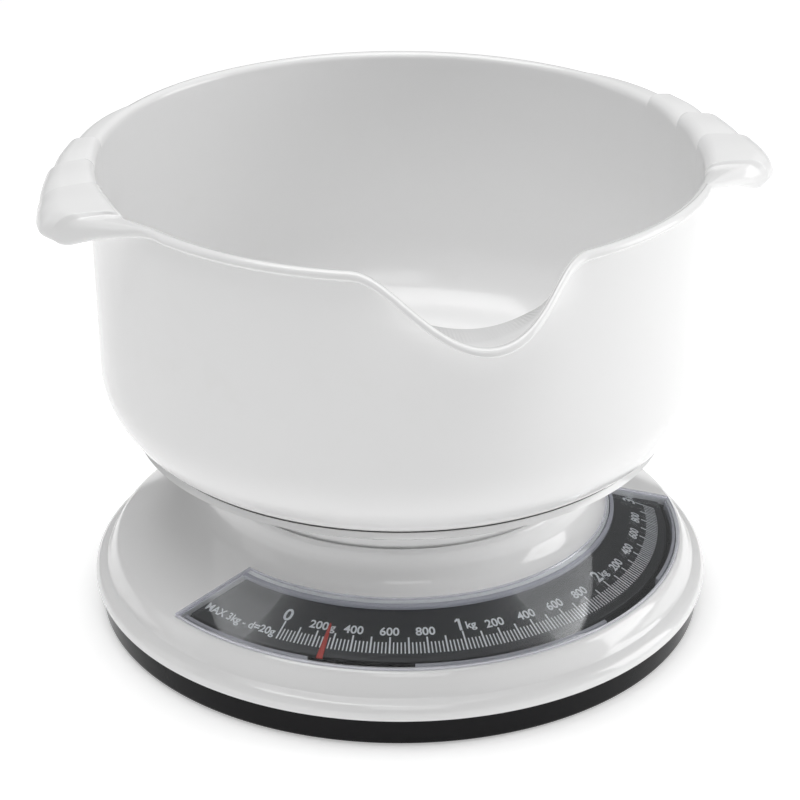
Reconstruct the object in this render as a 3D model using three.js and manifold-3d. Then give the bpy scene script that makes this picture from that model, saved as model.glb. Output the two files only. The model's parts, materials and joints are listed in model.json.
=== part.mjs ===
// Mechanical kitchen scale with a lift-off mixing bowl.
// Millimetres, +Z up. The origin is the centre of the base tray's flat underside,
// the dial window faces -Y, and +X is on the reader's right.
// Heights below are counted from the worktop that the rubber feet stand on.
import * as THREE from 'three';
import { mergeVertices } from 'three/addons/utils/BufferGeometryUtils.js';
import Module from 'manifold-3d';

const wasm = await Module();
wasm.setup();

// ---------------------------------------------------------------- driving sizes
const BASE_RADIUS = 105;          // lower edge of the white cover
const BASE_EDGE_Z = 9.2;          // height of that edge above the worktop
const FOOT_DROP = 1.2;            // how far the rubber feet stand proud of the tray
const WALL = 2.4;                 // moulded wall of cover, platform and bowl
const TOUCH_GAP = 0.3;            // gap between pieces that rest on each other
const CONE_SLOPE = 0.4245;        // fall of the cover per millimetre of radius
const CONE_EDGE_Z = 22.5;         // cover height at the lens's outer edge
const SHOULDER_WIDTH = 8.4;       // from the lens's outer edge to the cover's edge
const LENS_WIDTH = 25.9;          // radial width of the dial lens
const NECK_MARGIN = 9.8;          // from the lens's inner edge to the stem bore
const WINDOW_CHORD = 24.2;        // the lens ends on a straight line this far in front
const COLLAR_TOP_Z = 48;          // top of the cover's collar
const STEM_CLEARANCE = 0.5;       // radial running gap of the platform stem

const CAPACITY_KG = 3;
const FULL_TRAVEL = 7;            // platform travel for the full capacity
const REST_LOAD_KG = 0.26;        // weight of the bowl, shown by the pointer
const DIAL_ZERO_DEG = -52.3;      // dial angle of 0 kg, from the front towards +X
const DIAL_SWEEP_DEG = 121.23;    // dial angle for the full capacity
const PINION_RADIUS = 4;          // pitch radius
const PINION_TEETH = 14;

const BOWL_RADIUS = 100.3;        // outside of the bowl wall at mid height
const BOWL_SEAT_Z = 64.6;         // underside of the bowl
const BOWL_HEIGHT = 97;           // underside to rim crest
const BOWL_CORNER = 26.5;         // radius of the rounded bottom edge
const BOWL_TAPER = 0.012;
const BOWL_TURN_DEG = -13.4;      // how the bowl is set down, spout to the reader's left
const SPOUT_REACH = 22.5;         // how far the pouring lip stands out
const SPOUT_DROP = 15.5;          // how far the pouring lip dips
const SPOUT_HALF_ANGLE_DEG = 21;
const FINGER_WIDTH = 20.5;        // width of one finger panel of a handle
const FINGER_STEP = 2;            // fall of a panel, and the step up to the next
const HANDLE_REACH = 19.5;        // how far the foremost panel stands out of the wall

// ---------------------------------------------------------------- derived levels
const LENS_OUTER = BASE_RADIUS - SHOULDER_WIDTH;
const LENS_INNER = LENS_OUTER - LENS_WIDTH;
const BORE_RADIUS = LENS_INNER - NECK_MARGIN + 0.2;
const STEM_RADIUS = BORE_RADIUS - STEM_CLEARANCE;
const STEM_INNER = STEM_RADIUS - WALL;
const TRAY_FLOOR_Z = FOOT_DROP + 2;
const UP_TRAVEL = FULL_TRAVEL * REST_LOAD_KG / CAPACITY_KG;
const DOWN_TRAVEL = FULL_TRAVEL - UP_TRAVEL;
const POINTER_REST_DEG = DIAL_ZERO_DEG + DIAL_SWEEP_DEG * REST_LOAD_KG / CAPACITY_KG;
const RIM_Z = BOWL_SEAT_Z + BOWL_HEIGHT;
const CIRCLE = 40;                // facets of the large round mouldings
const BOWL_CIRCLE = 48;
const SMALL_CIRCLE = 12;
const FULL_TURN = 2 * Math.PI;

const radians = (degrees) => degrees * Math.PI / 180;
const coneZ = (radius, offset = 0) => CONE_EDGE_Z + (LENS_OUTER - radius) * CONE_SLOPE + offset;
// A point at a dial angle, measured from the front (-Y) towards +X.
const dialPoint = (radius, degrees) => [
  radius * Math.sin(radians(degrees)), -radius * Math.cos(radians(degrees))];

// ---------------------------------------------------------------- materials
const finish = (color, roughness, metalness = 0) =>
  new THREE.MeshStandardMaterial({ color, roughness, metalness });
const whitePlastic = finish(0xf1f1ef, 0.2);
const blackPlastic = finish(0x1a1a1a, 0.45);
const dialBlack = finish(0x101010, 0.55);
const clearPlastic = finish(0xdde4ea, 0.05);
const pointerRed = finish(0xc2201c, 0.4);
const steel = finish(0xb4b7ba, 0.35, 1);
const brass = finish(0xc8a24a, 0.3, 1);
const springSteel = finish(0x8f9396, 0.3, 1);
const rubber = finish(0x2a2a2a, 0.9);
const nylon = finish(0xe6e2d6, 0.5);

// ---------------------------------------------------------------- solid helpers
// Merge shared vertices, drop empty triangles and face the surface outwards.
function closed(geometry) {
  const bare = geometry.index ? geometry.toNonIndexed() : geometry.clone();
  bare.deleteAttribute('normal');
  bare.deleteAttribute('uv');
  const merged = mergeVertices(bare, 1e-4);
  const index = merged.index.array;
  const position = merged.attributes.position;
  const kept = [];
  let volume = 0;
  const a = new THREE.Vector3();
  const b = new THREE.Vector3();
  const c = new THREE.Vector3();
  for (let i = 0; i < index.length; i += 3) {
    const [p, q, r] = [index[i], index[i + 1], index[i + 2]];
    if (p === q || q === r || r === p) continue;
    kept.push(p, q, r);
    a.fromBufferAttribute(position, p);
    b.fromBufferAttribute(position, q);
    c.fromBufferAttribute(position, r);
    volume += a.dot(b.cross(c));
  }
  if (volume < 0) kept.reverse();
  merged.setIndex(kept);
  return merged;
}

function toManifold(geometry) {
  const solid = closed(geometry);
  return new wasm.Manifold(new wasm.Mesh({
    numProp: 3,
    vertProperties: new Float32Array(solid.attributes.position.array),
    triVerts: new Uint32Array(solid.index.array),
  }));
}

function fromManifold(manifold) {
  const mesh = manifold.getMesh();
  const geometry = new THREE.BufferGeometry();
  geometry.setAttribute('position', new THREE.BufferAttribute(mesh.vertProperties, 3));
  geometry.setIndex(new THREE.BufferAttribute(mesh.triVerts, 1));
  return geometry;
}

const join = (first, ...others) => fromManifold(
  others.reduce((sum, next) => sum.add(toManifold(next)), toManifold(first)));
const cut = (body, ...tools) => fromManifold(
  tools.reduce((rest, tool) => rest.subtract(toManifold(tool)), toManifold(body)));
const overlap = (first, second) => fromManifold(
  toManifold(first).intersect(toManifold(second)));

// Turn a closed [radius, z] outline round the Z axis.
function turned(outline, facets = CIRCLE) {
  const points = outline.map(([radius, z]) => new THREE.Vector2(radius, z));
  if (outline[0][0] > 0) points.push(points[0].clone());
  return new THREE.LatheGeometry(points, facets).rotateX(Math.PI / 2);
}

// A round bar between two points.
function rod(from, to, radius, facets = SMALL_CIRCLE) {
  const start = new THREE.Vector3(...from);
  const end = new THREE.Vector3(...to);
  const along = end.clone().sub(start);
  const bar = new THREE.CylinderGeometry(radius, radius, along.length(), facets);
  const turn = new THREE.Quaternion().setFromUnitVectors(
    new THREE.Vector3(0, 1, 0), along.clone().normalize());
  bar.applyQuaternion(turn);
  return bar.translate(...start.add(end).multiplyScalar(0.5).toArray());
}

// A box given by its two corners.
function block(low, high) {
  const size = high.map((value, i) => value - low[i]);
  const middle = high.map((value, i) => (value + low[i]) / 2);
  return new THREE.BoxGeometry(...size).translate(...middle);
}

const extrude = (shape, depth, curveSegments = 6) =>
  new THREE.ExtrudeGeometry(shape, { depth, curveSegments, bevelEnabled: false });
// Sheet whose outline is in X and Y, from z upwards.
const sheetXY = (shape, z, thickness) => extrude(shape, thickness).translate(0, 0, z);
// Sheet whose outline is in X and Z, from y towards +Y.
const sheetXZ = (shape, y, thickness) =>
  extrude(shape, thickness).rotateX(Math.PI / 2).translate(0, y + thickness, 0);
// Sheet whose outline is in Y and Z, from x towards +X.
const sheetYZ = (shape, x, thickness) => extrude(shape, thickness).applyMatrix4(
  new THREE.Matrix4().set(0, 0, 1, x, 1, 0, 0, 0, 0, 1, 0, 0, 0, 0, 0, 1));

const outline = (points) => new THREE.Shape(points.map(([u, v]) => new THREE.Vector2(u, v)));

// A straight link with round ends: centre distance along u, given end radii.
function linkShape(u0, v0, r0, u1, v1, r1) {
  const angle = Math.atan2(v1 - v0, u1 - u0);
  const shape = new THREE.Shape();
  shape.absarc(u0, v0, r0, angle + Math.PI / 2, angle + 1.5 * Math.PI, false);
  shape.absarc(u1, v1, r1, angle - Math.PI / 2, angle + Math.PI / 2, false);
  shape.closePath();
  return shape;
}

function roundHole(shape, u, v, radius) {
  const hole = new THREE.Path();
  hole.absarc(u, v, radius, 0, FULL_TURN, true);
  shape.holes.push(hole);
}

function slotHole(shape, u, v, halfU, halfV) {
  const hole = new THREE.Path();
  hole.moveTo(u - halfU, v - halfV);
  hole.lineTo(u - halfU, v + halfV);
  hole.lineTo(u + halfU, v + halfV);
  hole.lineTo(u + halfU, v - halfV);
  hole.closePath();
  shape.holes.push(hole);
}

function piece(name, geometry, material) {
  const mesh = new THREE.Mesh(closed(geometry), material);
  mesh.name = name;
  return mesh;
}

// A pan-head screw standing on z = 0 with its shank pointing up.
function screwGeometry(shankLength, shankRadius = 1.2, headRadius = 2.4, headHeight = 1.4) {
  return turned([[0, -headHeight], [headRadius * 0.8, -headHeight], [headRadius, -headHeight * 0.6],
    [headRadius, 0], [shankRadius, 0], [shankRadius, shankLength - shankRadius],
    [0, shankLength]], 8);
}

// ---------------------------------------------------------------- base shell
const COVER_BOSS_RADIUS = LENS_OUTER - 11;
const COVER_BOSS_ANGLES = [98, 150, 210, 262];
const BOSS_R = 3.6;
const SCREW_R = 1.2;
const HOLE_GAP = 0.35;
const COVER_SEAT_Z = TRAY_FLOOR_Z + 2;      // tray bosses that the cover's posts stand on
const HEAD_POCKET_Z = COVER_SEAT_Z - 1.8;   // depth of the recessed screw heads
const BOSS_BOTTOM_Z = COVER_SEAT_Z + TOUCH_GAP;
const TRAY_RADIUS = BASE_RADIUS - 1.5;
const TRAY_WALL = 1.7;
const CHASSIS_BOSS_XY = [[-34, -34], [34, -34], [-34, 50], [34, 50]];
const CHASSIS_Z = 6;
const SHEET = 1.6;                 // steel sheet of the chassis and its brackets
const WHEEL_Y = TRAY_RADIUS - 15.5;
const WHEEL_RADIUS = 17;
const WHEEL_Z = [4.3, 7.9];

const coverOutline = () => {
  const edge = BASE_RADIUS;
  return [
    [edge, BASE_EDGE_Z], [edge + 0.35, 11], [edge - 0.1, 12.7], [edge - 1.3, 14.1],
    [edge - 2.8, 14.9], [edge - 3.8, 15.3], [edge - 4.6, 16.4], [edge - 5.6, 18.4],
    [edge - 6.6, 20.4], [edge - 7.6, 21.9], [LENS_OUTER, CONE_EDGE_Z],
    [LENS_INNER, coneZ(LENS_INNER)], [LENS_INNER - 2.9, coneZ(LENS_INNER, 1.45)],
    [LENS_INNER - 5.1, coneZ(LENS_INNER, 3.5)], [LENS_INNER - 6.5, coneZ(LENS_INNER, 6.1)],
    [BORE_RADIUS + 2.3, COLLAR_TOP_Z - 4.6], [BORE_RADIUS + 2, COLLAR_TOP_Z - 1.6],
    [BORE_RADIUS + 1.4, COLLAR_TOP_Z - 0.5], [BORE_RADIUS + 0.6, COLLAR_TOP_Z],
    [BORE_RADIUS, COLLAR_TOP_Z - 0.5], [BORE_RADIUS, coneZ(LENS_INNER, 0.8)],
    [LENS_INNER - 3.4, coneZ(LENS_INNER, -1.4)], [LENS_INNER, coneZ(LENS_INNER, -WALL)],
    [LENS_OUTER - 0.8, coneZ(LENS_OUTER - 0.8, -WALL)], [edge - 6.2, 14.2],
    [edge - 3, 12.4], [edge - 2.3, BASE_EDGE_Z],
  ];
};

// A ring sector in front of the chord line, as a cutting or clipping solid.
function windowSolid(inner, outer, chord, z0, z1) {
  const ring = turned([[inner, z0], [outer, z0], [outer, z1], [inner, z1]]);
  const margin = 10;
  return overlap(ring, block([-outer - margin, -outer - margin, z0 - 1],
    [outer + margin, -chord, z1 + 1]));
}

const LENS_SEAT = 1.3;             // overlap of the lens flange on the cover
const LENS_PLUG_GAP = 0.35;
const WINDOW_INNER = LENS_INNER + LENS_SEAT;
const WINDOW_OUTER = LENS_OUTER - LENS_SEAT;
const WINDOW_EDGE_Y = WINDOW_CHORD + LENS_SEAT;
const EAR_SCREW = { y: -19, inset: 5.5 };   // dial screws, just behind the window ends
const earScrewXY = (side) => {
  const radius = (WINDOW_INNER + WINDOW_OUTER) / 2 + EAR_SCREW.inset;
  return [side * Math.sqrt(radius * radius - EAR_SCREW.y * EAR_SCREW.y), EAR_SCREW.y];
};

function topCover() {
  const bosses = COVER_BOSS_ANGLES.map((angle) => {
    const [x, y] = dialPoint(COVER_BOSS_RADIUS, angle);
    const top = coneZ(COVER_BOSS_RADIUS, -WALL / 2);
    return rod([x, y, BOSS_BOTTOM_Z], [x, y, top], BOSS_R);
  });
  const bossHoles = COVER_BOSS_ANGLES.map((angle) => {
    const [x, y] = dialPoint(COVER_BOSS_RADIUS, angle);
    return rod([x, y, BOSS_BOTTOM_Z - 1], [x, y, BOSS_BOTTOM_Z + 12], SCREW_R + HOLE_GAP);
  });
  const window = windowSolid(WINDOW_INNER, WINDOW_OUTER, WINDOW_EDGE_Y, 0, COLLAR_TOP_Z);
  const earHoles = [-1, 1].map((side) => {
    const [x, y] = earScrewXY(side);
    const under = coneZ(Math.hypot(x, y), -WALL);
    return rod([x, y, under - 2], [x, y, under + 1.5], 0.8 + HOLE_GAP, 10);
  });
  const shell = join(turned(coverOutline()), ...bosses);
  return piece('top_cover', cut(shell, window, ...bossHoles, ...earHoles), whitePlastic);
}

function baseTray() {
  const edge = TRAY_RADIUS;
  const shell = turned([
    [0, FOOT_DROP], [edge - 5, FOOT_DROP], [edge - 2.2, FOOT_DROP + 0.7],
    [edge - 0.7, FOOT_DROP + 2.2], [edge - 0.1, FOOT_DROP + 4.4], [edge, BASE_EDGE_Z - TOUCH_GAP],
    [edge - TRAY_WALL, BASE_EDGE_Z - TOUCH_GAP], [edge - TRAY_WALL, 11.2],
    [edge - 2 * TRAY_WALL, 11.2], [edge - 2 * TRAY_WALL - 0.4, TRAY_FLOOR_Z], [0, TRAY_FLOOR_Z],
  ]);
  const standoffs = CHASSIS_BOSS_XY.map(([x, y]) =>
    rod([x, y, FOOT_DROP + 0.5], [x, y, CHASSIS_Z - TOUCH_GAP], BOSS_R));
  const wheelPin = rod([0, WHEEL_Y, FOOT_DROP + 0.5], [0, WHEEL_Y, 12.5], 2);
  const coverSeats = COVER_BOSS_ANGLES.map((angle) => {
    const [x, y] = dialPoint(COVER_BOSS_RADIUS, angle);
    return rod([x, y, FOOT_DROP + 0.5], [x, y, COVER_SEAT_Z], 5);
  });
  const screwHoles = COVER_BOSS_ANGLES.map((angle) => {
    const [x, y] = dialPoint(COVER_BOSS_RADIUS, angle);
    return rod([x, y, 0], [x, y, COVER_SEAT_Z + 1], SCREW_R + HOLE_GAP);
  });
  const headPockets = COVER_BOSS_ANGLES.map((angle) => {
    const [x, y] = dialPoint(COVER_BOSS_RADIUS, angle);
    return rod([x, y, 0], [x, y, HEAD_POCKET_Z], 2.9);
  });
  const standoffHoles = CHASSIS_BOSS_XY.map(([x, y]) =>
    rod([x, y, FOOT_DROP + 1], [x, y, 8], SCREW_R + HOLE_GAP));
  const wheelSlot = block([-16, WHEEL_Y + 5, WHEEL_Z[0] - 0.7],
    [16, BASE_RADIUS + 5, WHEEL_Z[1] + 0.6]);
  const body = join(shell, ...standoffs, ...coverSeats, wheelPin);
  return piece('base_tray', cut(body, ...screwHoles, ...headPockets, ...standoffHoles, wheelSlot),
    blackPlastic);
}

const FOOT_RADIUS = 7;
const FOOT_RING = BASE_RADIUS - 22;
const FOOT_ANGLES = [45, 135, 225, 315];

function rubberFeet() {
  return FOOT_ANGLES.map((angle, i) => {
    const [x, y] = dialPoint(FOOT_RING, angle);
    const foot = turned([[0, 0], [FOOT_RADIUS - 0.4, 0], [FOOT_RADIUS, 0.4],
      [FOOT_RADIUS, FOOT_DROP - TOUCH_GAP], [0, FOOT_DROP - TOUCH_GAP]], 24);
    return piece(`rubber_foot_${i + 1}`, foot.translate(x, y, 0), rubber);
  });
}

function coverScrews() {
  return COVER_BOSS_ANGLES.map((angle, i) => {
    const [x, y] = dialPoint(COVER_BOSS_RADIUS, angle);
    const screw = screwGeometry(12).translate(x, y, HEAD_POCKET_Z - 0.1);
    return piece(`cover_screw_${i + 1}`, screw, steel);
  });
}

// ---------------------------------------------------------------- dial and lens
const LENS_TOP = 1;                // lens stands this far above the cover's cone
const LENS_UNDER = -0.2;
const DIAL_TOP = -1.4;             // dial face below the cover's cone
const DIAL_SHEET = 1.2;
const RISER = [LENS_OUTER - 4.1, LENS_OUTER - 3.2];  // radii of the pointer's upright
const DIAL_OUTER = RISER[0] - 0.6;
const DIAL_INNER = WINDOW_INNER + 0.5;
const NEEDLE_TIP = DIAL_OUTER - 11.3;

// A band that follows the cover's cone between two radii and two offsets.
const coneBand = (inner, outer, low, high) => turned([
  [inner, coneZ(inner, low)], [outer, coneZ(outer, low)],
  [outer, coneZ(outer, high)], [inner, coneZ(inner, high)]]);

function clippedToFront(geometry, chord) {
  const reach = BASE_RADIUS + 20;
  return overlap(geometry, block([-reach, -reach, 0], [reach, -chord, COLLAR_TOP_Z]));
}

function lens() {
  const flange = clippedToFront(coneBand(LENS_INNER, LENS_OUTER, TOUCH_GAP, LENS_TOP), WINDOW_CHORD);
  const plugInner = WINDOW_INNER + LENS_PLUG_GAP;
  const plugOuter = WINDOW_OUTER - LENS_PLUG_GAP;
  const plugEdge = WINDOW_EDGE_Y + LENS_PLUG_GAP;
  const plug = clippedToFront(coneBand(plugInner, plugOuter, LENS_UNDER, LENS_TOP - 0.1), plugEdge);
  const innerSkirt = clippedToFront(coneBand(plugInner, plugInner + 1.4, -1.05, 0.5), plugEdge);
  const outerSkirt = clippedToFront(coneBand(plugOuter - 1, plugOuter, -3.4, 0.5), plugEdge);
  const notches = [-33.5, 29].map((angle) => {
    const notch = block([-17, -plugOuter - 2, 0], [17, -plugOuter + 4, coneZ(plugOuter, -0.6)]);
    return notch.rotateZ(radians(angle));
  });
  return piece('dial_lens', cut(join(flange, plug, innerSkirt, outerSkirt), ...notches),
    clearPlastic);
}

function dialPlate() {
  const faceEdge = WINDOW_EDGE_Y + 1.2;
  const face = clippedToFront(
    coneBand(DIAL_INNER, DIAL_OUTER, DIAL_TOP - DIAL_SHEET, DIAL_TOP), faceEdge);
  const earLow = DIAL_TOP - 2.7;
  const ears = [-1, 1].map((side) => {
    const [x, y] = earScrewXY(side);
    const band = coneBand(DIAL_INNER + 1, DIAL_OUTER - 2, earLow, -WALL - 0.5);
    const strip = overlap(band, block([x - 6, -faceEdge - 5, 0], [x + 6, y + 5, COLLAR_TOP_Z]));
    const rib = overlap(coneBand(DIAL_INNER + 1, DIAL_OUTER - 2, earLow, DIAL_TOP - 0.5),
      block([x - 6, -faceEdge - 5, 0], [x + 6, -faceEdge, COLLAR_TOP_Z]));
    return cut(join(strip, rib), rod([x, y, 0], [x, y, COLLAR_TOP_Z], 0.8 + HOLE_GAP, 10));
  });
  return piece('dial_plate', join(face, ...ears), dialBlack);
}

function dialScrews() {
  return [-1, 1].map((side) => {
    const [x, y] = earScrewXY(side);
    const headTop = coneZ(Math.hypot(x, y) + 2, DIAL_TOP - 2.7) - 0.2;
    const under = coneZ(Math.hypot(x, y), -WALL);
    const screw = screwGeometry(under + 1.1 - headTop, 0.8, 1.9, 1.1).translate(x, y, headTop);
    return piece(side < 0 ? 'dial_screw_left' : 'dial_screw_right', screw, steel);
  });
}

// ---------------------------------------------------------------- chassis
const CHASSIS_TOP = CHASSIS_Z + SHEET;
const PIVOT_Y = 40;                // rear lever pivots
const LEVER_LENGTH = 44;
const CARRIER_Y = PIVOT_Y - LEVER_LENGTH;
const LOWER_Z = 22;
const UPPER_Z = 42;
const PIN_R = 1.5;
const FRAME_X = [32, 33.6];
const LEVER_X = [29.6, 31];
const CHEEK_X = [27.2, 28.6];
const BRIDGE_Z = 30;
const BRIDGE_TOP = BRIDGE_Z + SHEET;
const CRANK_Z = 41;
const CRANK_DOWN = 20;             // output arm
const PER_TRAVEL = radians(DIAL_SWEEP_DEG) * PINION_RADIUS / FULL_TRAVEL;
const CRANK_SIDE = CRANK_DOWN / PER_TRAVEL;   // input arm
const DRIVE_X = -2.5;
const CRANK_X = DRIVE_X + CRANK_SIDE;
const CRANK_Y = [-9.8, -8.2];
const RACK_Z = [19.4, 22.6];
const SPRING_Y = 26;
const LEVER_PIVOT_Y = 46;          // zero lever
const ZERO_LEVER_Z = [8.6, 10.2];

function chassisPlate() {
  const shape = outline([[-39, -39], [39, -39], [39, 55], [-39, 55]]);
  CHASSIS_BOSS_XY.forEach(([x, y]) => roundHole(shape, x, y, SCREW_R + HOLE_GAP));
  roundHole(shape, 0, 0, 3);
  const lugs = [-1, 1].map((side) => cut(
    block([side * 9 - 0.8, LEVER_PIVOT_Y - 4, CHASSIS_Z + 0.5],
      [side * 9 + 0.8, LEVER_PIVOT_Y + 4, 13.5]),
    rod([side * 9 - 2, LEVER_PIVOT_Y, 11.6], [side * 9 + 2, LEVER_PIVOT_Y, 11.6], 1 + HOLE_GAP)));
  return piece('chassis_plate', join(sheetXY(shape, CHASSIS_Z, SHEET), ...lugs), steel);
}

function chassisScrews() {
  return CHASSIS_BOSS_XY.map(([x, y], i) => {
    const screw = screwGeometry(5.2).rotateX(Math.PI).translate(x, y, CHASSIS_TOP + 0.2);
    return piece(`chassis_screw_${i + 1}`, screw, steel);
  });
}

function sideFrames() {
  return [-1, 1].map((side) => {
    const shape = outline([[-6, CHASSIS_TOP + TOUCH_GAP], [PIVOT_Y + 4, CHASSIS_TOP + TOUCH_GAP],
      [PIVOT_Y + 4, UPPER_Z + 4], [PIVOT_Y + 2.5, UPPER_Z + 5], [PIVOT_Y - 4, UPPER_Z + 5],
      [PIVOT_Y - 6, UPPER_Z + 3], [PIVOT_Y - 6, BRIDGE_Z + 4], [PIVOT_Y - 12, BRIDGE_Z - TOUCH_GAP],
      [0, BRIDGE_Z - TOUCH_GAP], [-6, BRIDGE_Z - 8]]);
    roundHole(shape, PIVOT_Y, LOWER_Z, PIN_R + HOLE_GAP);
    roundHole(shape, PIVOT_Y, UPPER_Z, PIN_R + HOLE_GAP);
    const x = side < 0 ? -FRAME_X[1] : FRAME_X[0];
    return piece(side < 0 ? 'side_frame_left' : 'side_frame_right', sheetYZ(shape, x, SHEET), steel);
  });
}

// Cross plate over the movement: top bearing of the spindle and the crank's bracket.
function bridgePlate() {
  const half = FRAME_X[1];
  const notch = { x: 0.5, back: CRANK_Y[1] + 1.2, front: CRANK_Y[0] - 1.2 };   // for the crank's end
  const shape = outline([[-half, 4], [-12, 4], [-12, notch.back], [notch.x, notch.back],
    [notch.x, notch.front], [-12, notch.front], [-12, -18], [CRANK_X + 5, -18],
    [CRANK_X + 5, -11.4], [9.5, -11.4], [9.5, 4], [half, 4], [half, 14], [-half, 14]]);
  roundHole(shape, 0, 0, 3);
  const upright = outline([[CRANK_X - 5, BRIDGE_Z + 0.5], [CRANK_X + 5, BRIDGE_Z + 0.5],
    [CRANK_X + 3, CRANK_Z + 3.5], [CRANK_X - 3, CRANK_Z + 3.5]]);
  roundHole(upright, CRANK_X, CRANK_Z, PIN_R + HOLE_GAP);
  return piece('bridge_plate',
    join(sheetXY(shape, BRIDGE_Z, SHEET), sheetXZ(upright, -13.4, SHEET)), steel);
}

const bush = (zLow, zHigh, boreFrom) => cut(
  turned([[0, zLow], [2.7, zLow], [2.7, zHigh], [0, zHigh]], 20),
  rod([0, 0, boreFrom], [0, 0, zHigh + 1], 1 + HOLE_GAP, 12));

function spindleBushes() {
  const lower = bush(CHASSIS_Z - 0.6, CHASSIS_TOP + 1.4, CHASSIS_TOP - 0.2);
  const upper = join(bush(BRIDGE_Z - 0.6, BRIDGE_TOP + 1.4, 0),
    cut(turned([[0, BRIDGE_TOP + TOUCH_GAP], [4.2, BRIDGE_TOP + TOUCH_GAP],
      [4.2, BRIDGE_TOP + 1.3], [0, BRIDGE_TOP + 1.3]], 20),
    rod([0, 0, 0], [0, 0, 50], 1 + HOLE_GAP, 12)));
  return [piece('spindle_bush_lower', lower, brass), piece('spindle_bush_upper', upper, brass)];
}

function pivotShafts() {
  const reach = FRAME_X[1] + 1.2;
  const shaft = (z) => rod([-reach, PIVOT_Y, z], [reach, PIVOT_Y, z], PIN_R);
  const crankPin = rod([CRANK_X, -14.6, CRANK_Z], [CRANK_X, -6.6, CRANK_Z], PIN_R);
  const zeroPin = rod([-11, LEVER_PIVOT_Y, 11.6], [11, LEVER_PIVOT_Y, 11.6], 1, 12);
  return [piece('pivot_shaft_lower', shaft(LOWER_Z), steel),
    piece('pivot_shaft_upper', shaft(UPPER_Z), steel),
    piece('crank_pivot', crankPin, steel), piece('zero_pivot', zeroPin, steel)];
}

function rackGuide() {
  const body = block([-13, -10, RACK_Z[0] - 2], [-9, -1.6, BRIDGE_Z - TOUCH_GAP]);
  const channel = block([-14, -7.6 - HOLE_GAP, RACK_Z[0] - HOLE_GAP],
    [-8, -3.3, RACK_Z[1] + HOLE_GAP]);
  return piece('rack_guide', cut(body, channel), nylon);
}

// ---------------------------------------------------------------- zero setting
function zeroWheel() {
  const points = [];
  const ribs = 36;
  for (let i = 0; i < ribs * 2; i += 1) {
    const radius = i % 2 ? WHEEL_RADIUS : WHEEL_RADIUS - 0.8;
    const angle = i * Math.PI / ribs;
    points.push([radius * Math.cos(angle), radius * Math.sin(angle)]);
  }
  const disc = sheetXY(outline(points), WHEEL_Z[0], WHEEL_Z[1] - WHEEL_Z[0]);
  const stem = turned([[0, WHEEL_Z[0]], [3.6, WHEEL_Z[0]], [3.6, 12], [0, 12]], 20);
  const collar = turned([[0, WHEEL_Z[1] - 0.5], [5.4, WHEEL_Z[1] - 0.5], [5.4, 8.2], [0, 8.2]], 20);
  const bore = rod([0, 0, 0], [0, 0, 20], 2 + HOLE_GAP);
  const wheel = cut(join(disc, stem, collar), bore).translate(0, WHEEL_Y, 0);
  return piece('zero_wheel', wheel, blackPlastic);
}

// Rocker that carries the spring seat at its front end and rides on the wheel's stem.
function zeroLever() {
  const shape = new THREE.Shape();
  shape.absarc(0, SPRING_Y, 9, Math.PI - 0.3, FULL_TURN + 0.3, false);
  shape.lineTo(5, WHEEL_Y - 8);
  shape.lineTo(7, WHEEL_Y - 2);
  shape.lineTo(5, WHEEL_Y + 6.2);
  shape.lineTo(-5, WHEEL_Y + 6.2);
  shape.lineTo(-7, WHEEL_Y - 2);
  shape.lineTo(-5, WHEEL_Y - 8);
  shape.closePath();
  roundHole(shape, 0, WHEEL_Y, 3.6 + 0.8);
  const bar = sheetXY(shape, ZERO_LEVER_Z[0], ZERO_LEVER_Z[1] - ZERO_LEVER_Z[0]);
  const eye = block([-7.6, LEVER_PIVOT_Y - 2.4, ZERO_LEVER_Z[0] + 0.2], [7.6, LEVER_PIVOT_Y + 2.4, 14]);
  const bore = rod([-9, LEVER_PIVOT_Y, 11.6], [9, LEVER_PIVOT_Y, 11.6], 1 + HOLE_GAP, 12);
  const guide = rod([0, SPRING_Y, ZERO_LEVER_Z[0] + 0.5], [0, SPRING_Y, 14], 4.6);
  return piece('zero_lever', cut(join(bar, eye, guide), bore), steel);
}

// ---------------------------------------------------------------- levers and crank
function lever(name, z) {
  const arms = [-1, 1].map((side) => {
    const shape = linkShape(CARRIER_Y, z, 3.4, PIVOT_Y, z, 5.4);
    roundHole(shape, PIVOT_Y, z, PIN_R + HOLE_GAP);
    slotHole(shape, CARRIER_Y, z, 2.3, PIN_R + HOLE_GAP);
    const x = side < 0 ? -LEVER_X[1] : LEVER_X[0];
    return sheetYZ(shape, x, LEVER_X[1] - LEVER_X[0]);
  });
  const webY = PIVOT_Y + 3.8;
  const web = block([-LEVER_X[1] + 0.2, webY - 0.7, z - 3], [LEVER_X[1] - 0.2, webY + 0.7, z + 3]);
  return piece(name, join(...arms, web), steel);
}

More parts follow.
